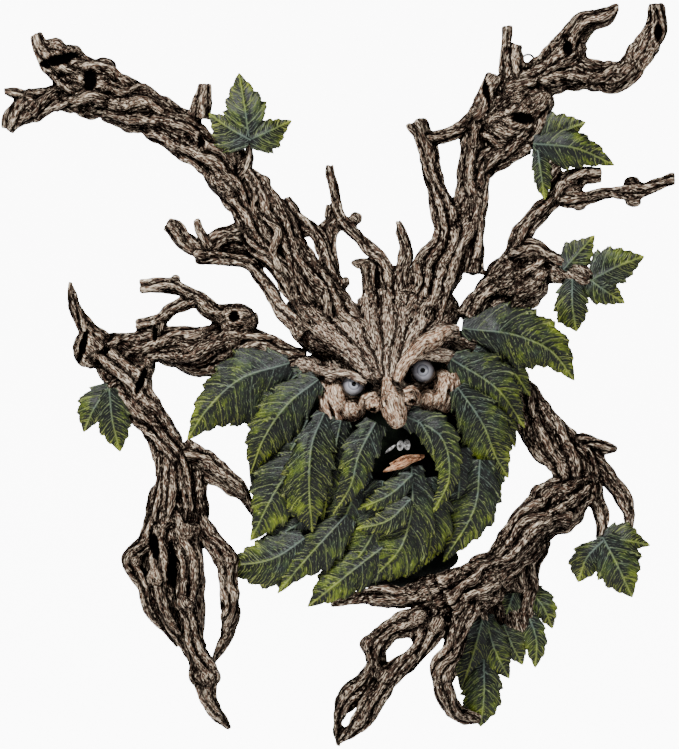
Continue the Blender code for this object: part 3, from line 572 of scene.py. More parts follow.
brow_bark = bark_paint(
    "painted_brow", grain_group, (10, 6, 4), (98, 72, 56), (184, 146, 118), (255, 238, 212), 0.52
)
nose = Bark(seed=4, step=0.75, wound=False)
nose.limb(
    (5, 8, 72, 3.6), (6, -2, 79, 5.4), (8, -11, 83, 8.8), (10.5, -18, 83, 7.4), (11.2, -24, 80, 3.4),
    fluted=0.12,
)
nose.lump(-4, -9, 76, 6.4, 5.8, 7)
nose.lump(18.5, -6, 74, 5, 4.8, 6)
nose.limb((-13, -12, 65, 1.8), (-10, -5, 72, 2.3), (-3, -2.5, 77, 2.2), fluted=0.2)
nose.limb((15, -1, 77, 2.2), (20, 1, 76, 2.4), (25, -4, 70, 2.2), (24, -9, 65, 1.6), fluted=0.2)
nose.hollow(-5, -12.5, 2.2, 1.5, 3)
nose.hollow(21, -7.5, 2.4, 1.6, 3)
nose.limb(
    (-74, 28, 45, 5.4), (-56, 27.5, 60, 6.2), (-40, 24, 69, 6.8), (-27, 19, 75, 6.2), (-15, 12, 79, 5),
    (-4, 5, 78, 3.6), fluted=0.3,
)
nose.limb(
    (44, 39, 57, 4.4), (36, 34, 64, 6), (24, 26, 74, 5.8), (15, 16, 78, 4.6), (11, 6, 78, 3.4), fluted=0.3,
)
nose.limb((-31, -8, 48, 5), (-14, -6, 48, 5), (4, -4, 50, 6), (24, -3, 48, 5), (43, 1, 48, 5), fluted=0)
nose.limb((8, -11, 80, 6), (7, -7, 64, 6), (6, -4, 50, 6), fluted=0)
nose.lump(-31, -8, 54, 9.5, 14.5, 12, 14)
nose.limb((-37, 4, 49, 4.2), (-36, -5, 57, 5), (-32, -15, 60, 5.4), (-26, -27, 55, 3.2), fluted=0.3)
nose.lump(-19, -13, 53, 10, 8, 10, -15)
nose.lump(43, 1, 53, 8.5, 14, 12, -10)
nose.lump(33, -6, 55, 9, 7, 9, 20)
nose.limb((45, 19, 53, 3), (50, 9, 56, 4), (48, -3, 56, 4.6), (41, -14, 53, 3.4), fluted=0.3)
nose.hollow(-32, -14, 1.2, 6, 1.5, 18)
nose.hollow(-39, -1, 1.2, 5, 1.2, 8)
nose.hollow(45, -2, 1.2, 6, 1.5, -12)
nose.finish("nose_brows_cheeks", brow_bark)

# The crown
# Twisted trunks and thin twigs that grow from the brow between the antlers.

limbs = (
    ((-90, 147, 28, 4), (-81, 135, 30, 8), (-73, 119, 32, 12), (-62, 98, 36, 11.5), (-48.5, 77.5, 42, 11.5),
     (-31, 56, 46, 12.5), (-14, 36, 50, 15)),
    ((-63, 128, 26, 4), (-57, 117, 28, 5), (-43, 104, 30, 5.4), (-36, 88, 34, 5), (-31, 70, 40, 6),
     (-20, 46, 46, 7)),
    ((-82, 112, 28, 6), (-76, 94, 34, 6), (-64, 79, 38, 4.4), (-53, 58, 42, 6), (-36, 42, 48, 10)),
    ((-77, 115, 42, 2.5), (-68, 104, 48, 2.8), (-71, 93, 46, 2.8), (-66, 78, 46, 3)),
    ((-34, 150.5, 28, 3), (-31, 134, 28, 4), (-26, 116, 28, 4.2), (-12, 99, 30, 4.6), (2, 86.5, 34, 5),
     (6, 66, 42, 6), (4, 44, 52, 7)),
    ((-34, 124, 24, 3), (-32.5, 104, 26, 4), (-30.5, 84, 30, 4), (-27, 66, 36, 5), (-22, 48, 44, 7)),
    ((-42, 105, 26, 3.5), (-33, 112, 26, 3.5), (-26, 117, 27, 3.5)),
    ((-20, 85, 30, 1.8), (-9, 82.5, 32, 5.6), (-8, 70, 36, 5), (-5, 50, 46, 7)),
    ((12, 112.5, 28, 2.5), (16.5, 97, 30, 4.6), (15, 74, 38, 6), (12, 48, 50, 8)),
    ((26, 80, 34, 5), (26, 60, 42, 7), (22, 40, 52, 8)),
    ((-1, 84, 30, 3), (0, 62, 36, 4.4)),
)
lumps = (
    (-24, 71, 40, 4.5, 4.5, 4.5), (-28, 109.5, 28, 3, 5, 3), (-50, 107, 28, 7, 6, 5, -40),
    (-16, 114.5, 29, 4.5, 4.5, 4.5), (-78, 138, 30, 6, 5, 6), (22, 52, 34, 32, 20, 20),
    (0, 34, 26, 54, 20, 26),
)
carve_region("crown_trunks", bark, 5, limbs, lumps)

# The left antler
# The heavy branch at the upper left, with its fork, a cut stub and the side branch below it.

limbs = (
    ((-56, 60, 42, 6), (-63.5, 78, 40, 8), (-80, 96, 34, 9), (-91, 118, 28, 9), (-103, 141, 24, 11.5),
     (-128, 168.5, 20, 14.5), (-150, 182.5, 19, 15), (-171, 192, 19, 16.5), (-190, 201, 20, 19),
     (-206, 206, 20, 17.5)),
    ((-200, 207, 22, 16), (-218.5, 222, 24, 10.5), (-225.5, 228, 26, 7), (-229.5, 237.5, 28, 4)),
    ((-200, 200, 20, 15), (-220, 193.5, 20, 10.5), (-236, 188, 20, 10.5), (-245.2, 181, 20, 8.6),
     (-248.8, 173.5, 20, 5.2)),
    ((-234, 195, 22, 5), (-243, 197.6, 23, 4.4), (-251.6, 199.5, 24, 2.4)),
    ((-121, 182, 24, 8), (-117.5, 197, 25, 5.6), (-117, 204.5, 25, 4)),
    ((-84, 107, 30, 8), (-107, 102, 28, 6), (-121, 94, 27, 6.6), (-130, 99.5, 27, 6.2),
     (-136.5, 108, 27, 6.4), (-142, 111, 27, 4.6)),
    ((-116, 98, 30, 4), (-119, 105, 31, 3.2), (-122.5, 114, 32, 2.2)),
    ((-123, 89.5, 28, 5.5), (-105, 88, 30, 5), (-88, 84, 31, 5), (-73, 65, 34, 4.8), (-64, 51, 38, 6.2),
     (-50, 36, 44, 7.5)),
    ((-118, 92, 26, 4), (-100, 95, 26, 5), (-84, 92, 28, 6)),
    ((-95, 138, 26, 5), (-88, 152, 30, 4), (-87, 164, 34, 2.4), (-87, 172, 36, 2)),
)
lumps = (
    (-104, 137, 26, 13, 9, 14, 35), (-218, 229.5, 22, 7.5, 6, 8), (-206, 223.5, 20, 9, 7.5, 9),
    (-185, 216, 20, 9, 6, 9), (-98, 156, 22, 9, 9, 10),
)
hollows = (
    (-214, 220, 12, 3.2, 5, 17), (-193, 206, 4, 6, 6), (-119, 166, 2.5, 3.5, 3),
)
carve_region("left_antler", bark, 7, limbs, lumps, hollows)

# The right antlers
# Twin trunks, the broad knotted fork on top of them, and the long forked twig at the right.

limbs = (
    ((24.5, 179.5, 24, 7), (32, 162, 24, 6.8), (35.5, 140, 25, 7), (41.5, 121, 28, 8.2), (42, 104, 30, 8),
     (30, 84, 36, 9), (22, 62, 44, 10)),
    ((30, 167.5, 24, 5), (41, 168.5, 23, 5), (51, 172.5, 22, 5.4), (61, 180, 22, 6)),
    ((65, 176, 20, 10), (62.5, 150, 20, 10.2), (60.5, 125, 22, 12.5), (56, 108, 26, 12), (49, 88, 32, 11),
     (39, 64, 40, 9), (30, 44, 48, 12)),
    ((69, 150, 26, 5), (67, 128, 28, 5.6), (63.5, 97, 30, 6), (61, 77.5, 31, 8.5)),
    ((62, 172, 18, 10), (80, 188, 18, 10), (93, 200, 17, 12.5), (107, 209, 17, 13), (118, 220, 18, 12),
     (128, 233.5, 20, 9.4), (138, 245.5, 22, 8.4), (152, 250, 24, 5.6), (159.5, 258, 25, 2)),
    ((108, 208, 18, 12), (130, 211.5, 18, 11.4), (158, 209.5, 20, 11.6), (167, 213.5, 21, 10),
     (177, 229, 22, 9), (185, 243, 23, 7.6), (184.3, 257.8, 24, 4.6)),
    ((80, 188, 20, 6), (84, 212, 20, 5.6), (84.5, 232, 20, 4.4), (85, 243.5, 20, 3.8)),
    ((90, 208, 22, 7), (91, 222, 22, 5), (91.5, 231, 22, 3.6)),
    ((51, 173.5, 22, 4.4), (64, 184, 24, 6.2), (70, 197, 24, 6.2), (76.5, 210, 24, 6.2)),
    ((70, 172, 22, 8), (84, 168, 24, 9), (98, 172, 24, 9), (108, 192, 20, 10)),
    ((66, 146, 22, 9), (80, 156.5, 24, 9.5), (98, 166, 24, 10)),
    ((58, 47, 36, 10), (70, 64.5, 32, 8.4), (82, 77, 30, 8.4), (90, 91, 28, 8), (96, 106.5, 27, 7),
     (107.5, 119.5, 26, 6.4), (119, 130, 26, 6.4)),
    ((117, 127, 26, 6.4), (124, 140.5, 26, 5.6), (135, 143.6, 26, 6.6), (148, 143.8, 26, 5.8)),
    ((117, 129, 26, 6), (130, 127, 26, 6), (150, 131, 27, 4.6), (172, 132.5, 28, 5), (186, 137.5, 29, 4.4),
     (196.6, 140.4, 30, 4)),
    ((88, 92, 28, 9), (102, 92.5, 28, 8.4), (112, 88.5, 28, 6.6), (124, 82.5, 28, 6), (142, 73, 29, 4),
     (147, 72, 29, 3)),
    ((92, 74, 30, 7), (108, 84, 29, 4.5)),
    ((102, 196, 20, 4), (108, 172, 26, 3), (104, 160, 30, 3)),
)
lumps = (
    (88, 180, 20, 22, 22, 16), (105, 192, 22, 11.5, 11, 10), (168, 138.5, 27, 6, 4.6, 4),
    (169, 126, 27, 6, 4.6, 4), (165, 213, 24, 6, 6, 7), (96, 215, 18, 5, 5, 5), (131, 226, 20, 8, 8, 8),
    (127, 135, 26, 9, 5, 6), (133, 123, 26, 5, 3.4, 4), (48, 118, 30, 6, 7, 7), (84, 76, 26, 14, 13, 18),
    (93, 68, 28, 20, 11, 14), (104, 76, 28, 9, 8, 9), (84, 57, 28, 17, 7, 10),
    (99.5, 62, 28, 8.5, 7, 10, 30), (114, 156, 28, 10, 9, 5), (113, 148, 27, 8, 13, 5, 25),
    (134, 76, 32, 10, 8, 5), (118, 77, 28, 10, 7, 6),
)
hollows = (
    (95, 181, 7, 3.5, 4, -10), (186, 238, 2.5, 5, 4), (125, 228, 3, 4, 4), (71, 199, 2, 7, 4, 12),
)
carve_region("right_antlers", bark, 11, limbs, lumps, hollows)

# The left arm
# Shoulder, bent elbow and forearm at the left, and the long hanging hand with four twig fingers.

limbs = (
    ((-50, 20, 36, 8), (-66, 23, 34, 9), (-83, 30, 30, 12.5), (-100, 29, 26, 16), (-120, 25.5, 24, 16.4),
     (-134, 28.5, 24, 15), (-148, 29.5, 24, 12), (-168, 29, 25, 10), (-181, 26, 26, 12)),
    ((-98, 50, 28, 7), (-112, 52.3, 28, 6.8), (-124, 62, 28, 5.6), (-138, 68.8, 28, 5.8),
     (-160, 69, 28, 5)),
    ((-125, 60, 28, 5.5), (-140, 53, 28, 4.6), (-149, 45, 28, 5.4), (-163, 43.5, 28, 4.6)),
    ((-147, 47, 28, 4.5), (-146, 36, 26, 5.5)),
    ((-184, 28, 28, 10), (-197, 42, 28, 6.6), (-203, 53, 29, 5), (-205.5, 63, 30, 3.4),
     (-206.5, 72.5, 31, 1.8)),
    ((-180, 24, 26, 13), (-169, 8, 28, 14.5), (-160.5, -9, 30, 12.6), (-146, -28, 32, 11.4),
     (-139.5, -43, 34, 12), (-135.5, -64, 34, 13.5), (-138, -88, 34, 18)),
    ((-132, -38, 34, 9), (-118, -49, 36, 10.4), (-105, -57.5, 38, 8.6), (-94, -67, 36, 5.8),
     (-87, -78, 32, 3.2), (-82, -87, 28, 1.6)),
    ((-122, -56, 36, 8), (-121, -72, 36, 6.6), (-119, -88, 38, 7)),
    ((-139, -96, 34, 4), (-138.5, -125, 34, 4), (-136.5, -145, 34, 3.8), (-131, -168, 34, 3)),
    ((-155, -102, 36, 3.4), (-156.5, -116, 36, 3.8), (-154, -132, 36, 3)),
    ((-172, 6, 34, 5), (-181, 1, 38, 2.4)),
    ((-144, -36, 36, 3), (-144, -53, 41, 4), (-147, -70, 45, 5), (-149, -86, 42, 5)),
    ((-143, -32, 38, 3), (-141, -48, 43, 4.5), (-139, -66, 48, 5), (-140, -86, 46, 5)),
    ((-138, -32, 38, 3), (-131, -48, 42, 4.5), (-128, -66, 47, 5), (-128, -84, 46, 5)),
    ((-148, -82, 38, 9), (-156, -102, 40, 6), (-166, -113, 42, 6), (-157.5, -130, 44, 4.6),
     (-152.5, -146, 42, 4.4), (-143, -159, 36, 3), (-134, -171, 30, 2)),
    ((-144, -84, 40, 9), (-146, -106, 44, 7.4), (-146, -124, 48, 8), (-145, -138, 48, 6.6),
     (-138, -157, 42, 5), (-130, -172, 34, 3), (-125.5, -182, 30, 2)),
    ((-132, -80, 42, 10), (-129, -104, 46, 8.4), (-126, -126, 50, 8.4), (-129, -140, 50, 6.6),
     (-126, -152, 48, 6.6), (-122, -172, 44, 7), (-116, -188.5, 40, 10), (-115.5, -204, 36, 6),
     (-108, -217, 30, 4.8), (-100, -227, 24, 2)),
    ((-125, -80, 38, 9), (-114, -97, 42, 8), (-103, -112, 45, 7.6), (-101, -130, 46, 7),
     (-100, -148, 44, 7), (-101, -163, 38, 4.6), (-109, -176.5, 30, 3.4), (-111, -183, 26, 2)),
    ((-121, -100, 38, 3.4), (-120, -128, 38, 3.8), (-119, -160, 36, 2.6), (-119, -182, 38, 3)),
)
lumps = (
    (-95, 46.5, 30, 14, 11, 12), (-193.5, 28, 26, 11.5, 14, 12), (-137, -78, 32, 19, 22, 16),
    (-136.5, 72, 28, 4.5, 4.5, 3.5), (-160, 15, 26, 10, 10, 10), (-140, -120, 27, 21, 42, 10),
    (-149, -124, 53, 6, 6, 6), (-126, -93, 52, 7, 6, 6), (-129, -141, 55, 7.5, 6.5, 6),
    (-115, -190, 43, 9.5, 7, 10), (-165, -113, 43, 6.5, 6.5, 6), (-102, -113, 46, 8.5, 7, 8),
    (-121, -142, 30, 5, 9, 8),
)
hollows = (
    (-138, -118, 3, 14, 4, -5), (-150, -104, 2.5, 9, 4, 10), (-159, 6, 2, 8, 6, -20), (-150, 37, 1.5, 4, 4),
    (-198, 29, 2, 10, 6, -15), (-97, 49, 3, 3, 4),
)
carve_region("left_arm", bark, 13, limbs, lumps, hollows)

# The right arm
# It comes from behind the leaves, turns back at the elbow and ends in the hand under the beard.

limbs = (
    ((34, 24, 26, 18), (72, 18, 24, 15), (90.5, -1, 22, 13), (104, -20, 24, 15.2), (117, -38, 28, 15.6),
     (131, -54, 30, 15), (134, -64, 32, 13.5)),
    ((135, -65, 32, 13.5), (117, -78.5, 38, 17.6), (100, -91.5, 44, 16), (86, -109, 48, 12.4),
     (66, -126, 50, 14.6), (44, -138, 50, 18)),
    ((132, -36, 26, 9), (146, -37.5, 25, 6.6), (159, -40, 24, 1.8)),
    ((138, -46, 26, 9), (151.5, -58.5, 26, 7.4), (162, -72, 28, 6.2), (166.5, -84, 30, 4.6),
     (165, -94, 31, 3.4)),
    ((140, -60, 32, 8), (144, -74, 32, 5.6), (147.5, -86, 32, 5), (147, -100, 33, 4)),
    ((108, -100, 42, 7), (101, -114, 38, 6.6), (98.5, -132, 36, 6), (97.5, -151, 34, 3.4)),
    ((28, -134, 50, 9), (16, -138, 50, 8), (1, -137.5, 50, 8.4), (-12, -137.5, 46, 5.6),
     (-33, -142.5, 40, 2)),
    ((30, -149, 54, 9), (5, -160.5, 58, 8.8), (-3, -167.5, 60, 8.4), (-4, -182, 56, 7.8),
     (-9, -192, 52, 7.4), (-21.5, -204, 46, 7.8), (-28, -218, 38, 4.6), (-28, -237.6, 28, 2.2)),
    ((40, -152, 54, 9.5), (24.5, -173, 60, 7), (9, -187, 62, 7.4), (-0.5, -200, 58, 8),
     (-8.5, -213, 50, 7.8), (-19, -226, 42, 5), (-27, -234, 34, 3)),
    ((58, -142, 54, 10), (49, -168, 58, 7), (41.5, -184.5, 60, 8.2), (43.5, -202, 54, 6.8),
     (50, -213, 44, 6), (66, -220, 36, 3.6)),
    ((66, -138, 44, 5), (69, -152, 40, 3), (69, -186, 36, 3)),
)
lumps = (
    (90, -124, 38, 11, 12, 7), (60, -132, 48, 22, 14, 14, 20), (77, -140, 30, 14, 12, 8),
    (25, -150, 61, 7, 6.5, 8), (37, -155, 61, 7, 6.5, 8), (-5, -168, 62, 9.5, 7, 8),
    (4, -189, 62, 8.5, 7, 8), (42, -188, 60, 8.5, 7.5, 8), (38, -138, 48, 20, 15, 14, 20),
    (24, -159, 55, 8, 8, 8), (88, -150, 34, 18, 12, 5, 30),
)
carve_region("right_arm", bark, 17, limbs, lumps)

# The leaves
# Cast with the tree and painted: near black green in the folds, olive over the blades, yellow
# green brushed on the veins and tips. The near black green is also painted shade at the edges
# where leaves overlap, beside the raised rib and veins, and toward the stems. Every leaf is one
# toothed blade bent along its midrib.

BLADE_THICKNESS = 2.2
BLADE_STEPS = 24
STEPS_PER_TOOTH = 11
FINE_LINES = 4
VEIN_LEAN = 0.85
TOOTH_DEPTH = 0.22
SMALL_TOOTH_DEPTH = 0.07
TIP_WIDTH = 0.5
NARROWEST = 0.4
FOLD = 0.3
RIPPLE_LENGTH = 13
RIB_RISE = 1.0
VEIN_RISE = 0.6
PILLOW_RISE = 1.8
RIPPLE_RISE = 1.7
LINE_RISE = 0.3
EDGE_RISE = 0.8


def leaf_blade(rib, depths, left, right, teeth, seed):
    """One blade as a bmesh. left and right are the half widths at the start and at each quarter
    of the rib, seen by one who walks from the stem to the tip."""
    sheet = bmesh.new()
    bmesh.ops.create_grid(sheet, x_segments=STEPS_PER_TOOTH * teeth, y_segments=BLADE_STEPS, size=1)
    share = (np.array([v.co.x for v in sheet.verts]) + 1) / 2
    side = np.array([v.co.y for v in sheet.verts])
    side = np.sign(side) * np.abs(side) ** 1.15
    rib = np.asarray(rib, float)
    length = np.linalg.norm(np.diff(rib, axis=0), axis=1).sum()
    middle = along(rib, share)
    ahead = along(rib, np.clip(share + 0.03, 0, 1)) - along(rib, np.clip(share - 0.03, 0, 1))
    ahead /= np.linalg.norm(ahead, axis=1)[:, None]

    wide = np.where(side > 0, through((*left, TIP_WIDTH), share), through((*right, TIP_WIDTH), share))
    wide = np.maximum(wide, NARROWEST)
    lean = VEIN_LEAN * np.abs(side) ** 1.25 * wide / length
    row = (share - lean) * teeth + 0.25 * (side > 0)
    beat = row % 1
    small = ((share - lean) * teeth * 3 + 0.5 * (side > 0)) % 1
    outline = 1 - TOOTH_DEPTH * (1 - beat) ** 1.3 - SMALL_TOOTH_DEPTH * (1 - small)
    reach = side * wide * (1 - (1 - outline) * np.abs(side) ** 3)
    across = middle[:, 0] - ahead[:, 1] * reach
    up = middle[:, 1] + ahead[:, 0] * reach

    from_vein = np.minimum(beat, 1 - beat) * length / teeth * 0.8
    from_rib = np.abs(reach)
    rib_line = np.exp(-((from_rib / (1.1 - 0.5 * share)) ** 2))
    vein_line = np.exp(-((from_vein / 0.6) ** 2)) * (1 - np.abs(side) ** 4) * (1 - rib_line)
    pillow = np.sin(np.pi * beat) * np.abs(side) ** 0.7 * (1 - np.abs(side) ** 6)
    ripple = wander(np.stack([across / RIPPLE_LENGTH, up / RIPPLE_LENGTH, np.full(len(up), seed)], axis=1))
    lines = np.sin(2 * np.pi * (beat * FINE_LINES + 0.35 * ripple)) * (1 - rib_line) * np.abs(side) ** 0.3
    out = through(depths, share) - FOLD * from_rib * (0.6 + 0.4 * np.abs(side))
    out += RIB_RISE * rib_line + VEIN_RISE * vein_line + PILLOW_RISE * pillow + RIPPLE_RISE * ripple
    out += LINE_RISE * lines + EDGE_RISE * np.abs(side) ** 8
    for vert, x, z, depth in zip(sheet.verts, across, up, out):
        vert.co = place(x, z, depth)
    marks = np.stack([row, from_rib, np.full(len(up), length / teeth)], axis=1)
    trough = np.exp(-((from_rib - 2.6) ** 2))
    trough += np.exp(-(((from_vein - 1.9) / 0.7) ** 2)) * (1 - side**4)
    # The tone mark: dry brush pale on the rib, veins, fine lines and raised pillows, and painted shade dark
    # at the edges where leaves overlap, beside the rib and veins, and toward the stem.
    veins_and_painted_shade = 0.6 * rib_line + 0.4 * vein_line + 0.2 * lines - 0.6 * np.abs(side) ** 5 + 0.45 * pillow
    veins_and_painted_shade += 0.4 * ripple - 0.5 * trough - 0.5 * (1 - share) ** 3
    blade_layer = sheet.verts.layers.float_vector.new("blade")
    vein_layer = sheet.verts.layers.float.new("veins_and_painted_shade")
    tip_layer = sheet.verts.layers.float.new("tipward")
    for vert, mark, vein, tipward in zip(sheet.verts, marks, veins_and_painted_shade, 0.8 * share + 0.25 * np.abs(side)):
        vert[blade_layer] = mark
        vert[vein_layer] = vein
        vert[tip_layer] = tipward
    rear = bmesh.ops.extrude_face_region(sheet, geom=sheet.faces[:], use_keep_orig=True)["geom"]
    rear = [v for v in rear if isinstance(v, bmesh.types.BMVert)]
    bmesh.ops.translate(sheet, verts=rear, vec=(0, BLADE_THICKNESS * MM, 0))
    bmesh.ops.recalc_face_normals(sheet, faces=sheet.faces)
    return sheet


def leaf_piece(name, blades, paint):
    """A spray or a single leaf as one piece."""
    joined = bmesh.new()
    for blade in blades:
        plate = mesh_from("blade", blade)
        joined.from_mesh(plate)
        bpy.data.meshes.remove(plate)
    finish_piece(name, mesh_from(name, joined), paint)


def leaf_paint():
    """Dark folds and painted shade, olive blade, and pale paint on the rib, the veins and the fine lines
    between, which are partly painted glints.
    """
    made, nodes, shader = new_material("painted_leaf")
    marks = nodes.add("ShaderNodeSeparateXYZ", i0=nodes.attribute("blade", "Vector"))
    row, from_rib, spacing = marks.outputs
    tipward = nodes.attribute("tipward")
    mottle = nodes.noise(nodes.object_place(), 110.0, 3.0, 0.6)
    along_row = nodes.math("MULTIPLY", row, spacing)
    stretched_rib = nodes.math("MULTIPLY", from_rib, 0.3)
    drawn = nodes.add("ShaderNodeCombineXYZ", i0=along_row, i1=stretched_rib, i2=spacing).outputs[0]
    brushed = nodes.noise(drawn, 1.2, 3.0)

    def line(rows, shift, width):
        """Thin lines side by side across the veins, rows of them to each vein."""
        bent = nodes.math("MULTIPLY_ADD", mottle, shift, nodes.math("MULTIPLY", row, rows))
        part = nodes.math("FRACT", nodes.math("ADD", bent, 0.5))
        off = nodes.math("ABSOLUTE", nodes.math("SUBTRACT", part, 0.5))
        away = nodes.math("MULTIPLY", off, nodes.math("MULTIPLY", spacing, 1 / (rows * width)))
        return nodes.math("SUBTRACT", 1.0, away, clamp=True)

    patchy = nodes.math("MULTIPLY", nodes.math("SUBTRACT", brushed, 0.42), 4.5, clamp=True)
    # Fine pale lines between the veins: dry brush on the fine ridges, and painted glints along them.
    fine = nodes.math("MULTIPLY", line(5.0, 4.5, 0.4), nodes.math("MULTIPLY", patchy, 0.75))
    rib = nodes.math("MULTIPLY_ADD", from_rib, -1.3, 1.1, clamp=True)
    vein = nodes.math("MAXIMUM", line(1.0, 0.1, 0.5), rib)
    worn_vein = nodes.math("MULTIPLY", vein, nodes.math("MULTIPLY_ADD", patchy, 0.35, 0.3))
    pale = nodes.math("MAXIMUM", worn_vein, fine)
    age = nodes.around_half(mottle, 1.3, tipward)
    folds = nodes.ramp(age, ((0.1, (3, 6, 5)), (0.5, (5, 9, 3)), (1.0, (10, 15, 2))))
    olives = ((0.15, (44, 60, 52)), (0.42, (56, 72, 34)), (0.68, (82, 98, 16)), (1.0, (116, 130, 22)))
    pales = ((0.1, (136, 154, 140)), (0.45, (158, 172, 108)), (1.0, (206, 210, 104)))
    body = nodes.around_half(brushed, 2.6, nodes.around_half(mottle, 1.6, nodes.attribute("veins_and_painted_shade")))
    shown = nodes.math("MULTIPLY_ADD", body, 1.1, 0.18, clamp=True)
    blade = nodes.mix(shown, folds, nodes.ramp(age, olives))
    nodes.feed(
        shader,
        Base_Color=nodes.mix(pale, blade, nodes.ramp(age, pales)),
        Roughness=nodes.math("MULTIPLY_ADD", brushed, 0.25, 0.3),
        Specular_IOR_Level=0.3,
        Normal=nodes.bump(nodes.math("ADD", pale, brushed), 0.7, 0.8),
    )
    return made


leaf_green = leaf_paint()

# The beard
# Eighteen leaves that fan out from the nose and the mouth, eleven more that show in the gaps
# between them, and a dark bed that closes the casting behind, painted near black as shade where
# it shows between the leaves and in the mouth. Each row is a leaf's name, midrib, distances from
# the wall, left and right half widths, and the number of its teeth.

beard = (
    ("leaf_left_ear", [(-60, 18), (-95, 6), (-115, -13), (-128, -33)], (58, 54, 48, 40), (8, 32, 37, 18),
     (6, 20, 17, 10), 6),
    ("leaf_left_cheek", [(-41, 7), (-60, -8), (-77, -32), (-86, -56)], (64, 62, 58, 48), (8, 17, 21, 13),
     (8, 15, 16, 12), 6),
    ("leaf_left_jaw", [(-50, -42), (-65, -60), (-86, -100)], (62, 58, 46), (8, 18, 24, 16), (6, 17, 19, 8),
     5),
    ("leaf_moustache_left", [(-37, -15), (-45, -35), (-47, -60), (-45, -94)], (64, 70, 68, 58),
     (12, 18, 19, 12), (6, 11, 19, 19), 6),
    ("leaf_low_left", [(-50, -98), (-70, -111), (-104, -117.5)], (54, 50, 40), (10, 20, 22, 14),
     (7, 15, 17, 11), 5),
    ("leaf_low_middle", [(-22, -82), (-50, -113), (-68, -135)], (62, 56, 44), (9, 17, 18, 7),
     (5, 11, 13, 8), 5),
    ("leaf_tip", [(18, -92), (-10, -113), (-48, -144)], (60, 56, 42), (6, 16, 18, 12), (4, 11, 17, 14), 6),
    ("leaf_chin", [(20.5, -50), (21, -75), (14, -103), (-8, -128)], (66, 68, 62, 48), (8, 17, 20, 18),
     (10, 26, 30, 18), 6),
    ("leaf_chin_upper", [(21, -56), (6, -69), (-15, -79)], (70, 70, 60), (4, 8, 10, 6), (4, 9, 9, 6), 4),
    ("leaf_chin_lower", [(20, -72), (5, -86), (-16, -92)], (71, 70, 60), (4, 9, 10, 6), (4, 9, 9, 6), 4),
    ("leaf_lip_lobe", [(26, -21), (33, -33), (36, -47)], (75, 74, 68), (4, 7, 7, 4), (4, 7, 7, 4), 3),
    ("under_temple", [(-52, 12), (-75, -5), (-100, -24)], (56, 50, 36), (6, 15, 15, 9), (6, 14, 14, 9), 5),
    ("under_cheek", [(-48, -20), (-62, -45), (-80, -75)], (58, 52, 40), (7, 17, 18, 11), (7, 15, 16, 10),
     5),
    ("under_moustache", [(-26, -20), (-32, -50), (-38, -88)], (66, 62, 52), (7, 14, 15, 9), (7, 14, 15, 9),
     5),
    ("under_lip", [(-12, -52), (-24, -85), (-44, -112)], (64, 60, 50), (7, 17, 17, 11), (7, 15, 15, 10), 5),
    ("under_chin", [(2, -60), (-5, -95), (-28, -128)], (64, 60, 46), (8, 19, 20, 12), (8, 17, 18, 12), 6),
    ("under_throat", [(30, -58), (33, -90), (22, -122)], (64, 58, 44), (8, 16, 17, 11), (8, 16, 17, 11), 5),
    ("under_jaw", [(52, -38), (51, -75), (38, -110)], (62, 56, 42), (8, 16, 17, 11), (8, 15, 16, 10), 5),
    ("under_eye", [(60, 12), (80, -14), (90, -38)], (54, 50, 38), (6, 12, 13, 8), (6, 13, 14, 9), 5),
    ("under_ear", [(62, 26), (86, 14), (100, -4)], (50, 48, 38), (6, 12, 13, 8), (6, 13, 13, 8), 4),
    ("under_edge", [(76, -42), (73, -66), (60, -94)], (54, 50, 40), (6, 9, 8, 5), (7, 13, 14, 9), 4),
    ("under_left_tip", [(-50, -86), (-68, -97), (-87, -108)], (52, 46, 38), (6, 9, 9, 6), (6, 8, 8, 5), 4),
    ("leaf_small", [(24, -78), (33, -95), (30, -116)], (64, 60, 50), (4, 7, 8, 5), (4, 7, 8, 5), 4),
    ("leaf_right_ear", [(54, 41), (94, 35), (113, 26), (129, 6.5)], (54, 56, 50, 42), (6, 20, 22, 15),
     (5, 15, 24, 13), 6),
    ("leaf_right_temple", [(47, 20.5), (79, -1), (96, -25)], (60, 60, 46), (7, 19, 18, 10), (7, 15, 13, 7),
     5),
    ("leaf_right_cheek", [(51, 2), (68, -23), (78, -47), (85, -58)], (64, 65, 58, 50), (6, 15, 20, 14),
     (8, 16, 20, 14), 6),
    ("leaf_right_jaw", [(66, -46), (63, -76), (42, -114)], (60, 58, 46), (10, 17, 16.5, 9.5),
     (8, 18, 20, 10), 5),
    ("leaf_lip_left", [(-3, -21), (-14, -42), (-20, -64), (-31, -82)], (72, 76, 72, 64), (9, 14, 12, 7),
     (8, 13, 12, 7), 5),
    ("leaf_lip_right", [(17, -17), (40, -31), (45.5, -57), (33, -84)], (73, 76, 70, 62), (9, 13, 10, 6),
     (8, 12, 11, 7), 6),
)
for number, (name, *leaf) in enumerate(beard):
    leaf_piece(f"beard_{name}", [leaf_blade(*leaf, seed=float(number))], leaf_green)

bed = Bark(seed=19, step=1.6)
bed.lump(-14, -50, 16, 74, 70, 38)
bed.lump(18, -64, 16, 58, 50, 38)
bed.lump(8, -112, 28, 45, 15, 14)
bed.lump(5, -125, 27, 25, 8, 11)


def dark_bed_paint_and_shade():
    made, nodes, shader = new_material("painted_leaf_bed_and_shade")
    mottle = nodes.noise(nodes.object_place(), 160.0, 4.0, 0.7)
    # Near black mottled with dark green: the bed's own paint, and painted shade where it shows between the
    # leaves and in the mouth.
    shade = nodes.ramp(mottle, ((0.35, (3, 5, 3)), (0.6, (12, 18, 10)), (0.9, (34, 46, 22))))
    bumps = nodes.bump(mottle, 0.8, 2)
    nodes.feed(shader, Base_Color=shade, Roughness=0.9, Specular_IOR_Level=0.1, Normal=bumps)
    return made


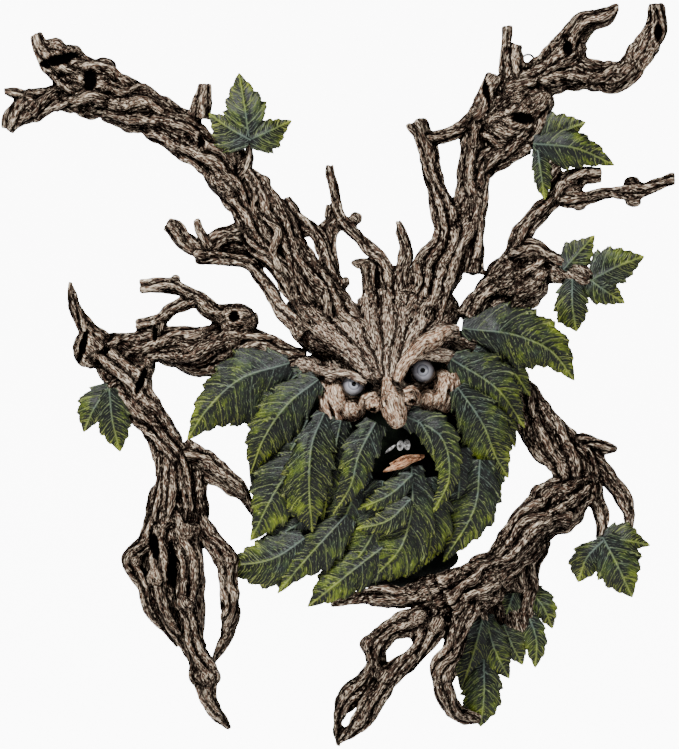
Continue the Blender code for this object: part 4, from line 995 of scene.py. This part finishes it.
finish_piece("beard_bed", bed.skin("beard_bed"), dark_bed_paint_and_shade())

# The sprays
# Small leaves in bunches of two to seven, on the antlers, at the elbows and under the hand. Each
# row is a leaf's midrib, its distances from the wall, and its left and right half widths.

SPRAY_TEETH = 4

sprays = {
    "spray_left_antler": [
        ([(-87, 166), (-90, 188), (-94, 211)], (38, 40, 34), (6, 14, 15.5, 10), (6, 14, 15.5, 9)),
        ([(-86, 166), (-100, 174), (-114, 184)], (38, 38, 32), (7, 15, 17, 9), (3, 9, 11, 6)),
        ([(-88, 166), (-74, 172), (-59, 179.5)], (38, 38, 32), (3, 8, 9, 6), (7, 14, 14, 7)),
    ],
    "spray_left_elbow": [
        ([(-180, 3), (-190, -12), (-197.5, -28)], (38, 38, 30), (5, 9, 9, 6), (4, 11, 13, 9)),
        ([(-180, 1), (-178, -20), (-173, -41)], (40, 41, 32), (5, 11, 13.5, 10), (5, 10, 12.5, 9)),
    ],
    "spray_right_antler": [
        ([(106, 162), (120, 171), (137, 178.5)], (30, 32, 28), (7, 16.5, 17, 10), (4, 9, 10, 6)),
        ([(102, 164), (130, 161), (156, 150)], (34, 35, 30), (6, 12, 12.5, 8.5), (6, 14.5, 16.5, 8.5)),
        ([(105, 160), (107.5, 142), (110, 127)], (33, 34, 30), (5, 8, 8, 6), (4, 6, 6, 5)),
    ],
    "spray_right_twig": [
        ([(122, 80), (132, 91), (143, 103)], (32, 32, 28), (4, 11, 12, 6), (5, 11, 12, 7)),
        ([(142, 74), (160, 83), (176, 89)], (35, 36, 30), (8, 17, 16, 9), (5, 11, 13, 8)),
        ([(136, 76), (150, 66), (163, 58)], (34, 35, 30), (4, 10, 12, 7), (6, 12, 12, 7)),
        ([(128, 74), (128, 56), (131, 39)], (36, 37, 30), (5, 11, 12, 10), (5, 11, 13, 12)),
    ],
    "spray_right_elbow": [
        ([(148, -98), (157, -115), (168, -138)], (38, 40, 32), (8, 19, 19, 11), (8, 14, 17, 12)),
        ([(150, -99), (138, -111), (132, -128)], (38, 38, 31), (5, 11, 13, 11), (4, 7, 11, 10)),
        ([(148, -99), (163, -100), (180, -103.5)], (37, 37, 31), (6, 12, 13, 6), (5, 10, 9, 5)),
    ],
    "spray_right_hand": [
        ([(90, -132), (85, -146), (80, -160)], (36, 38, 32), (4, 8, 9, 6), (5, 9, 9, 6)),
        ([(99, -132), (109, -145), (115, -159)], (34, 35, 30), (5, 10, 10, 7), (4, 8, 8, 6)),
        ([(98, -148), (104, -166), (103.5, -185)], (35, 36, 30), (5, 8, 8, 6), (5, 9, 10, 7)),
        ([(82, -156), (88, -170), (95, -183)], (37, 38, 32), (6, 12, 12, 8), (4, 9, 9, 6)),
        ([(69, -148), (63, -172), (54, -200)], (40, 42, 34), (5, 9, 10, 6), (5, 15, 18, 11)),
        ([(70, -150), (76, -172), (86, -192)], (39, 41, 34), (5, 11, 12, 8), (5, 10, 12, 10)),
        ([(69, -179), (69, -204), (67, -224)], (38, 40, 34), (6, 12, 13.5, 11), (7, 14, 16.5, 14)),
    ],
}
for number, (name, leaves) in enumerate(sprays.items()):
    blades = [leaf_blade(*leaf, SPRAY_TEETH, 20.0 + 8 * number + i) for i, leaf in enumerate(leaves)]
    leaf_piece(name, blades, leaf_green)

# The eyes
# Two round eyes cast into their sockets and painted: pale grey ball, darker iris ring, black pupil, and
# painted shade toward the rim.


def eye_paint():
    made, nodes, shader = new_material("painted_eye")
    pupil = ((0.0, (4, 4, 6)), (0.19, (6, 6, 8)))
    iris = ((0.23, (176, 178, 188)), (0.32, (150, 152, 160)), (0.45, (96, 96, 106)))
    # The ball darkens to near black toward its rim: painted shade where it sinks into the socket.
    ball = ((0.52, (158, 157, 165)), (0.75, (104, 100, 104)), (0.92, (8, 6, 6)))
    shade = nodes.ramp(nodes.attribute("from_pupil"), pupil + iris + ball)
    nodes.feed(shader, Base_Color=shade, Roughness=0.22, Coat_Weight=0.6)
    return made


eye_white = eye_paint()
for name, (x, z, depth, radius), (look_x, look_z) in (
    ("eye_left", (-18, 2.5, 60.5, 8.2), (-17.5, 4)),
    ("eye_right", (28, 12, 62, 8.4), (28, 13)),
):
    ball = bmesh.new()
    add_ball(ball, x, z, depth, radius, radius, radius, segments=(48, 32))
    mesh = mesh_from(name, ball)
    points = points_of(mesh) / MM
    away = np.hypot(points[:, 0] - look_x, points[:, 2] - look_z) / radius
    away[points[:, 1] > -depth] = 1.0
    write_attribute(mesh, "from_pupil", "FLOAT", away)
    finish_piece(name, mesh, eye_white)

# The mouth
# A lower lip like a bark ledge, cast with the face and painted warmer, and two blunt teeth and
# a splinter that stand on it.

TOOTH_THICK = 2.4
TOOTH_SEGMENTS = (24, 16)

mouth = Bark(seed=23, step=0.6, wound=False)
mouth.limb((2, -54, 64, 1), (10, -50.5, 68, 2.3), (19, -47, 69, 2.6), (29.5, -43.5, 64, 1.2), fluted=0.3)
mouth.limb((6, -49, 67, 0.9), (15, -44.5, 68, 1.5), (24, -43, 68, 1.4), (29, -43, 65, 0.9), fluted=0.3)
lip_bark = bark_paint(
    "painted_lip", grain_group, (40, 22, 14), (140, 92, 64), (196, 146, 112), (232, 198, 162), 0.55
)
mouth.finish("lower_lip", lip_bark)


def tooth_paint():
    made, nodes, shader = new_material("painted_tooth")
    stain = nodes.noise(nodes.object_place(), 500.0, 3.0)
    shade = nodes.ramp(stain, ((0.36, (40, 36, 34)), (0.5, (170, 168, 166)), (0.7, (240, 240, 240))))
    nodes.feed(shader, Base_Color=shade, Roughness=0.35)
    return made


teeth = bmesh.new()
add_ball(teeth, 13.2, -36.5, 68, 2.3, 3.6, TOOTH_THICK, 8, TOOTH_SEGMENTS)
add_ball(teeth, 17.6, -36, 68, 2.3, 3.6, TOOTH_THICK, -8, TOOTH_SEGMENTS)
add_ball(teeth, 6.5, -39, 66, 1, 4.4, TOOTH_THICK, 52, TOOTH_SEGMENTS)
finish_piece("teeth", mesh_from("teeth", teeth), tooth_paint())

# The wire hangers
# Two loops of bent steel wire pushed into drilled seats at the back of the antlers. The packed
# loops are shown as they are, with a finish of their own.


def hanger_wire():
    made, nodes, shader = new_material("hanger_wire")
    drawn = nodes.noise(nodes.object_place(), 900.0, 2.0)
    shade = nodes.ramp(drawn, ((0.3, (70, 70, 72)), (0.7, (128, 126, 122))))
    nodes.feed(shader, Base_Color=shade, Roughness=nodes.math("MULTIPLY_ADD", drawn, 0.2, 0.25), Metallic=1.0)
    return made


wire = hanger_wire()
for name in ("hanger_right", "hanger_left"):
    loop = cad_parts[name]
    loop.data.materials.clear()
    loop.data.materials.append(wire)

# The studio
# A white card behind, a pale floor below the view, two soft boxes and a long lens square to the
# wall, with a view as tall as the photograph's.

VIEW_TALL = 0.4993
VIEW_CENTRE = (-27, 10.3)
FACE_DEPTH = 30
CAMERA_AWAY = 4.0
SENSOR = 36.0
FLOOR = 5.0
BACK_CARD = 1.6


def card(name, size, location, turn, colour, glow=0.0):
    sheet = bmesh.new()
    bmesh.ops.create_grid(sheet, x_segments=1, y_segments=1, size=size / 2)
    where = Matrix.Translation(location) @ Matrix.Rotation(turn, 4, "X")
    bmesh.ops.transform(sheet, verts=sheet.verts, matrix=where)
    mesh = mesh_from(name, sheet)
    made, nodes, shader = new_material(name)
    nodes.feed(shader, Base_Color=(*colour, 1), Roughness=0.9)
    nodes.feed(shader, Emission_Color=(1, 1, 1, 1), Emission_Strength=glow)
    mesh.materials.append(made)
    add_object(name, mesh)


card("floor", FLOOR, (0, 0, -0.5), 0.0, (0.8, 0.8, 0.8))
card("back_card", BACK_CARD, (0, 1.6, 0), math.pi / 2, (0.9, 0.9, 0.9), glow=9.0)


def soft_box(name, location, size, energy):
    lamp = bpy.data.lights.new(name, "AREA")
    lamp.shape = "SQUARE"
    lamp.size = size
    lamp.energy = energy
    obj = add_object(name, lamp)
    obj.location = location
    obj.rotation_euler = (-Vector(location)).to_track_quat("-Z", "Y").to_euler()


soft_box("key", (-1.0, -1.7, 1.9), 0.7, 142)
soft_box("fill", (1.6, -2.4, 0.3), 1.2, 17)

world = bpy.data.worlds.new("studio")
world.use_nodes = True
Nodes(world.node_tree).feed(world.node_tree.nodes["Background"], Color=(1, 1, 1, 1), Strength=0.1)
bpy.context.scene.world = world

lens = bpy.data.cameras.new("camera")
lens.sensor_width = SENSOR
lens.lens = SENSOR * CAMERA_AWAY / VIEW_TALL
camera = add_object("camera", lens)
camera.location = place(*VIEW_CENTRE, FACE_DEPTH) - Vector((0, CAMERA_AWAY, 0))
camera.rotation_euler = (math.pi / 2, 0, 0)
bpy.context.scene.camera = camera
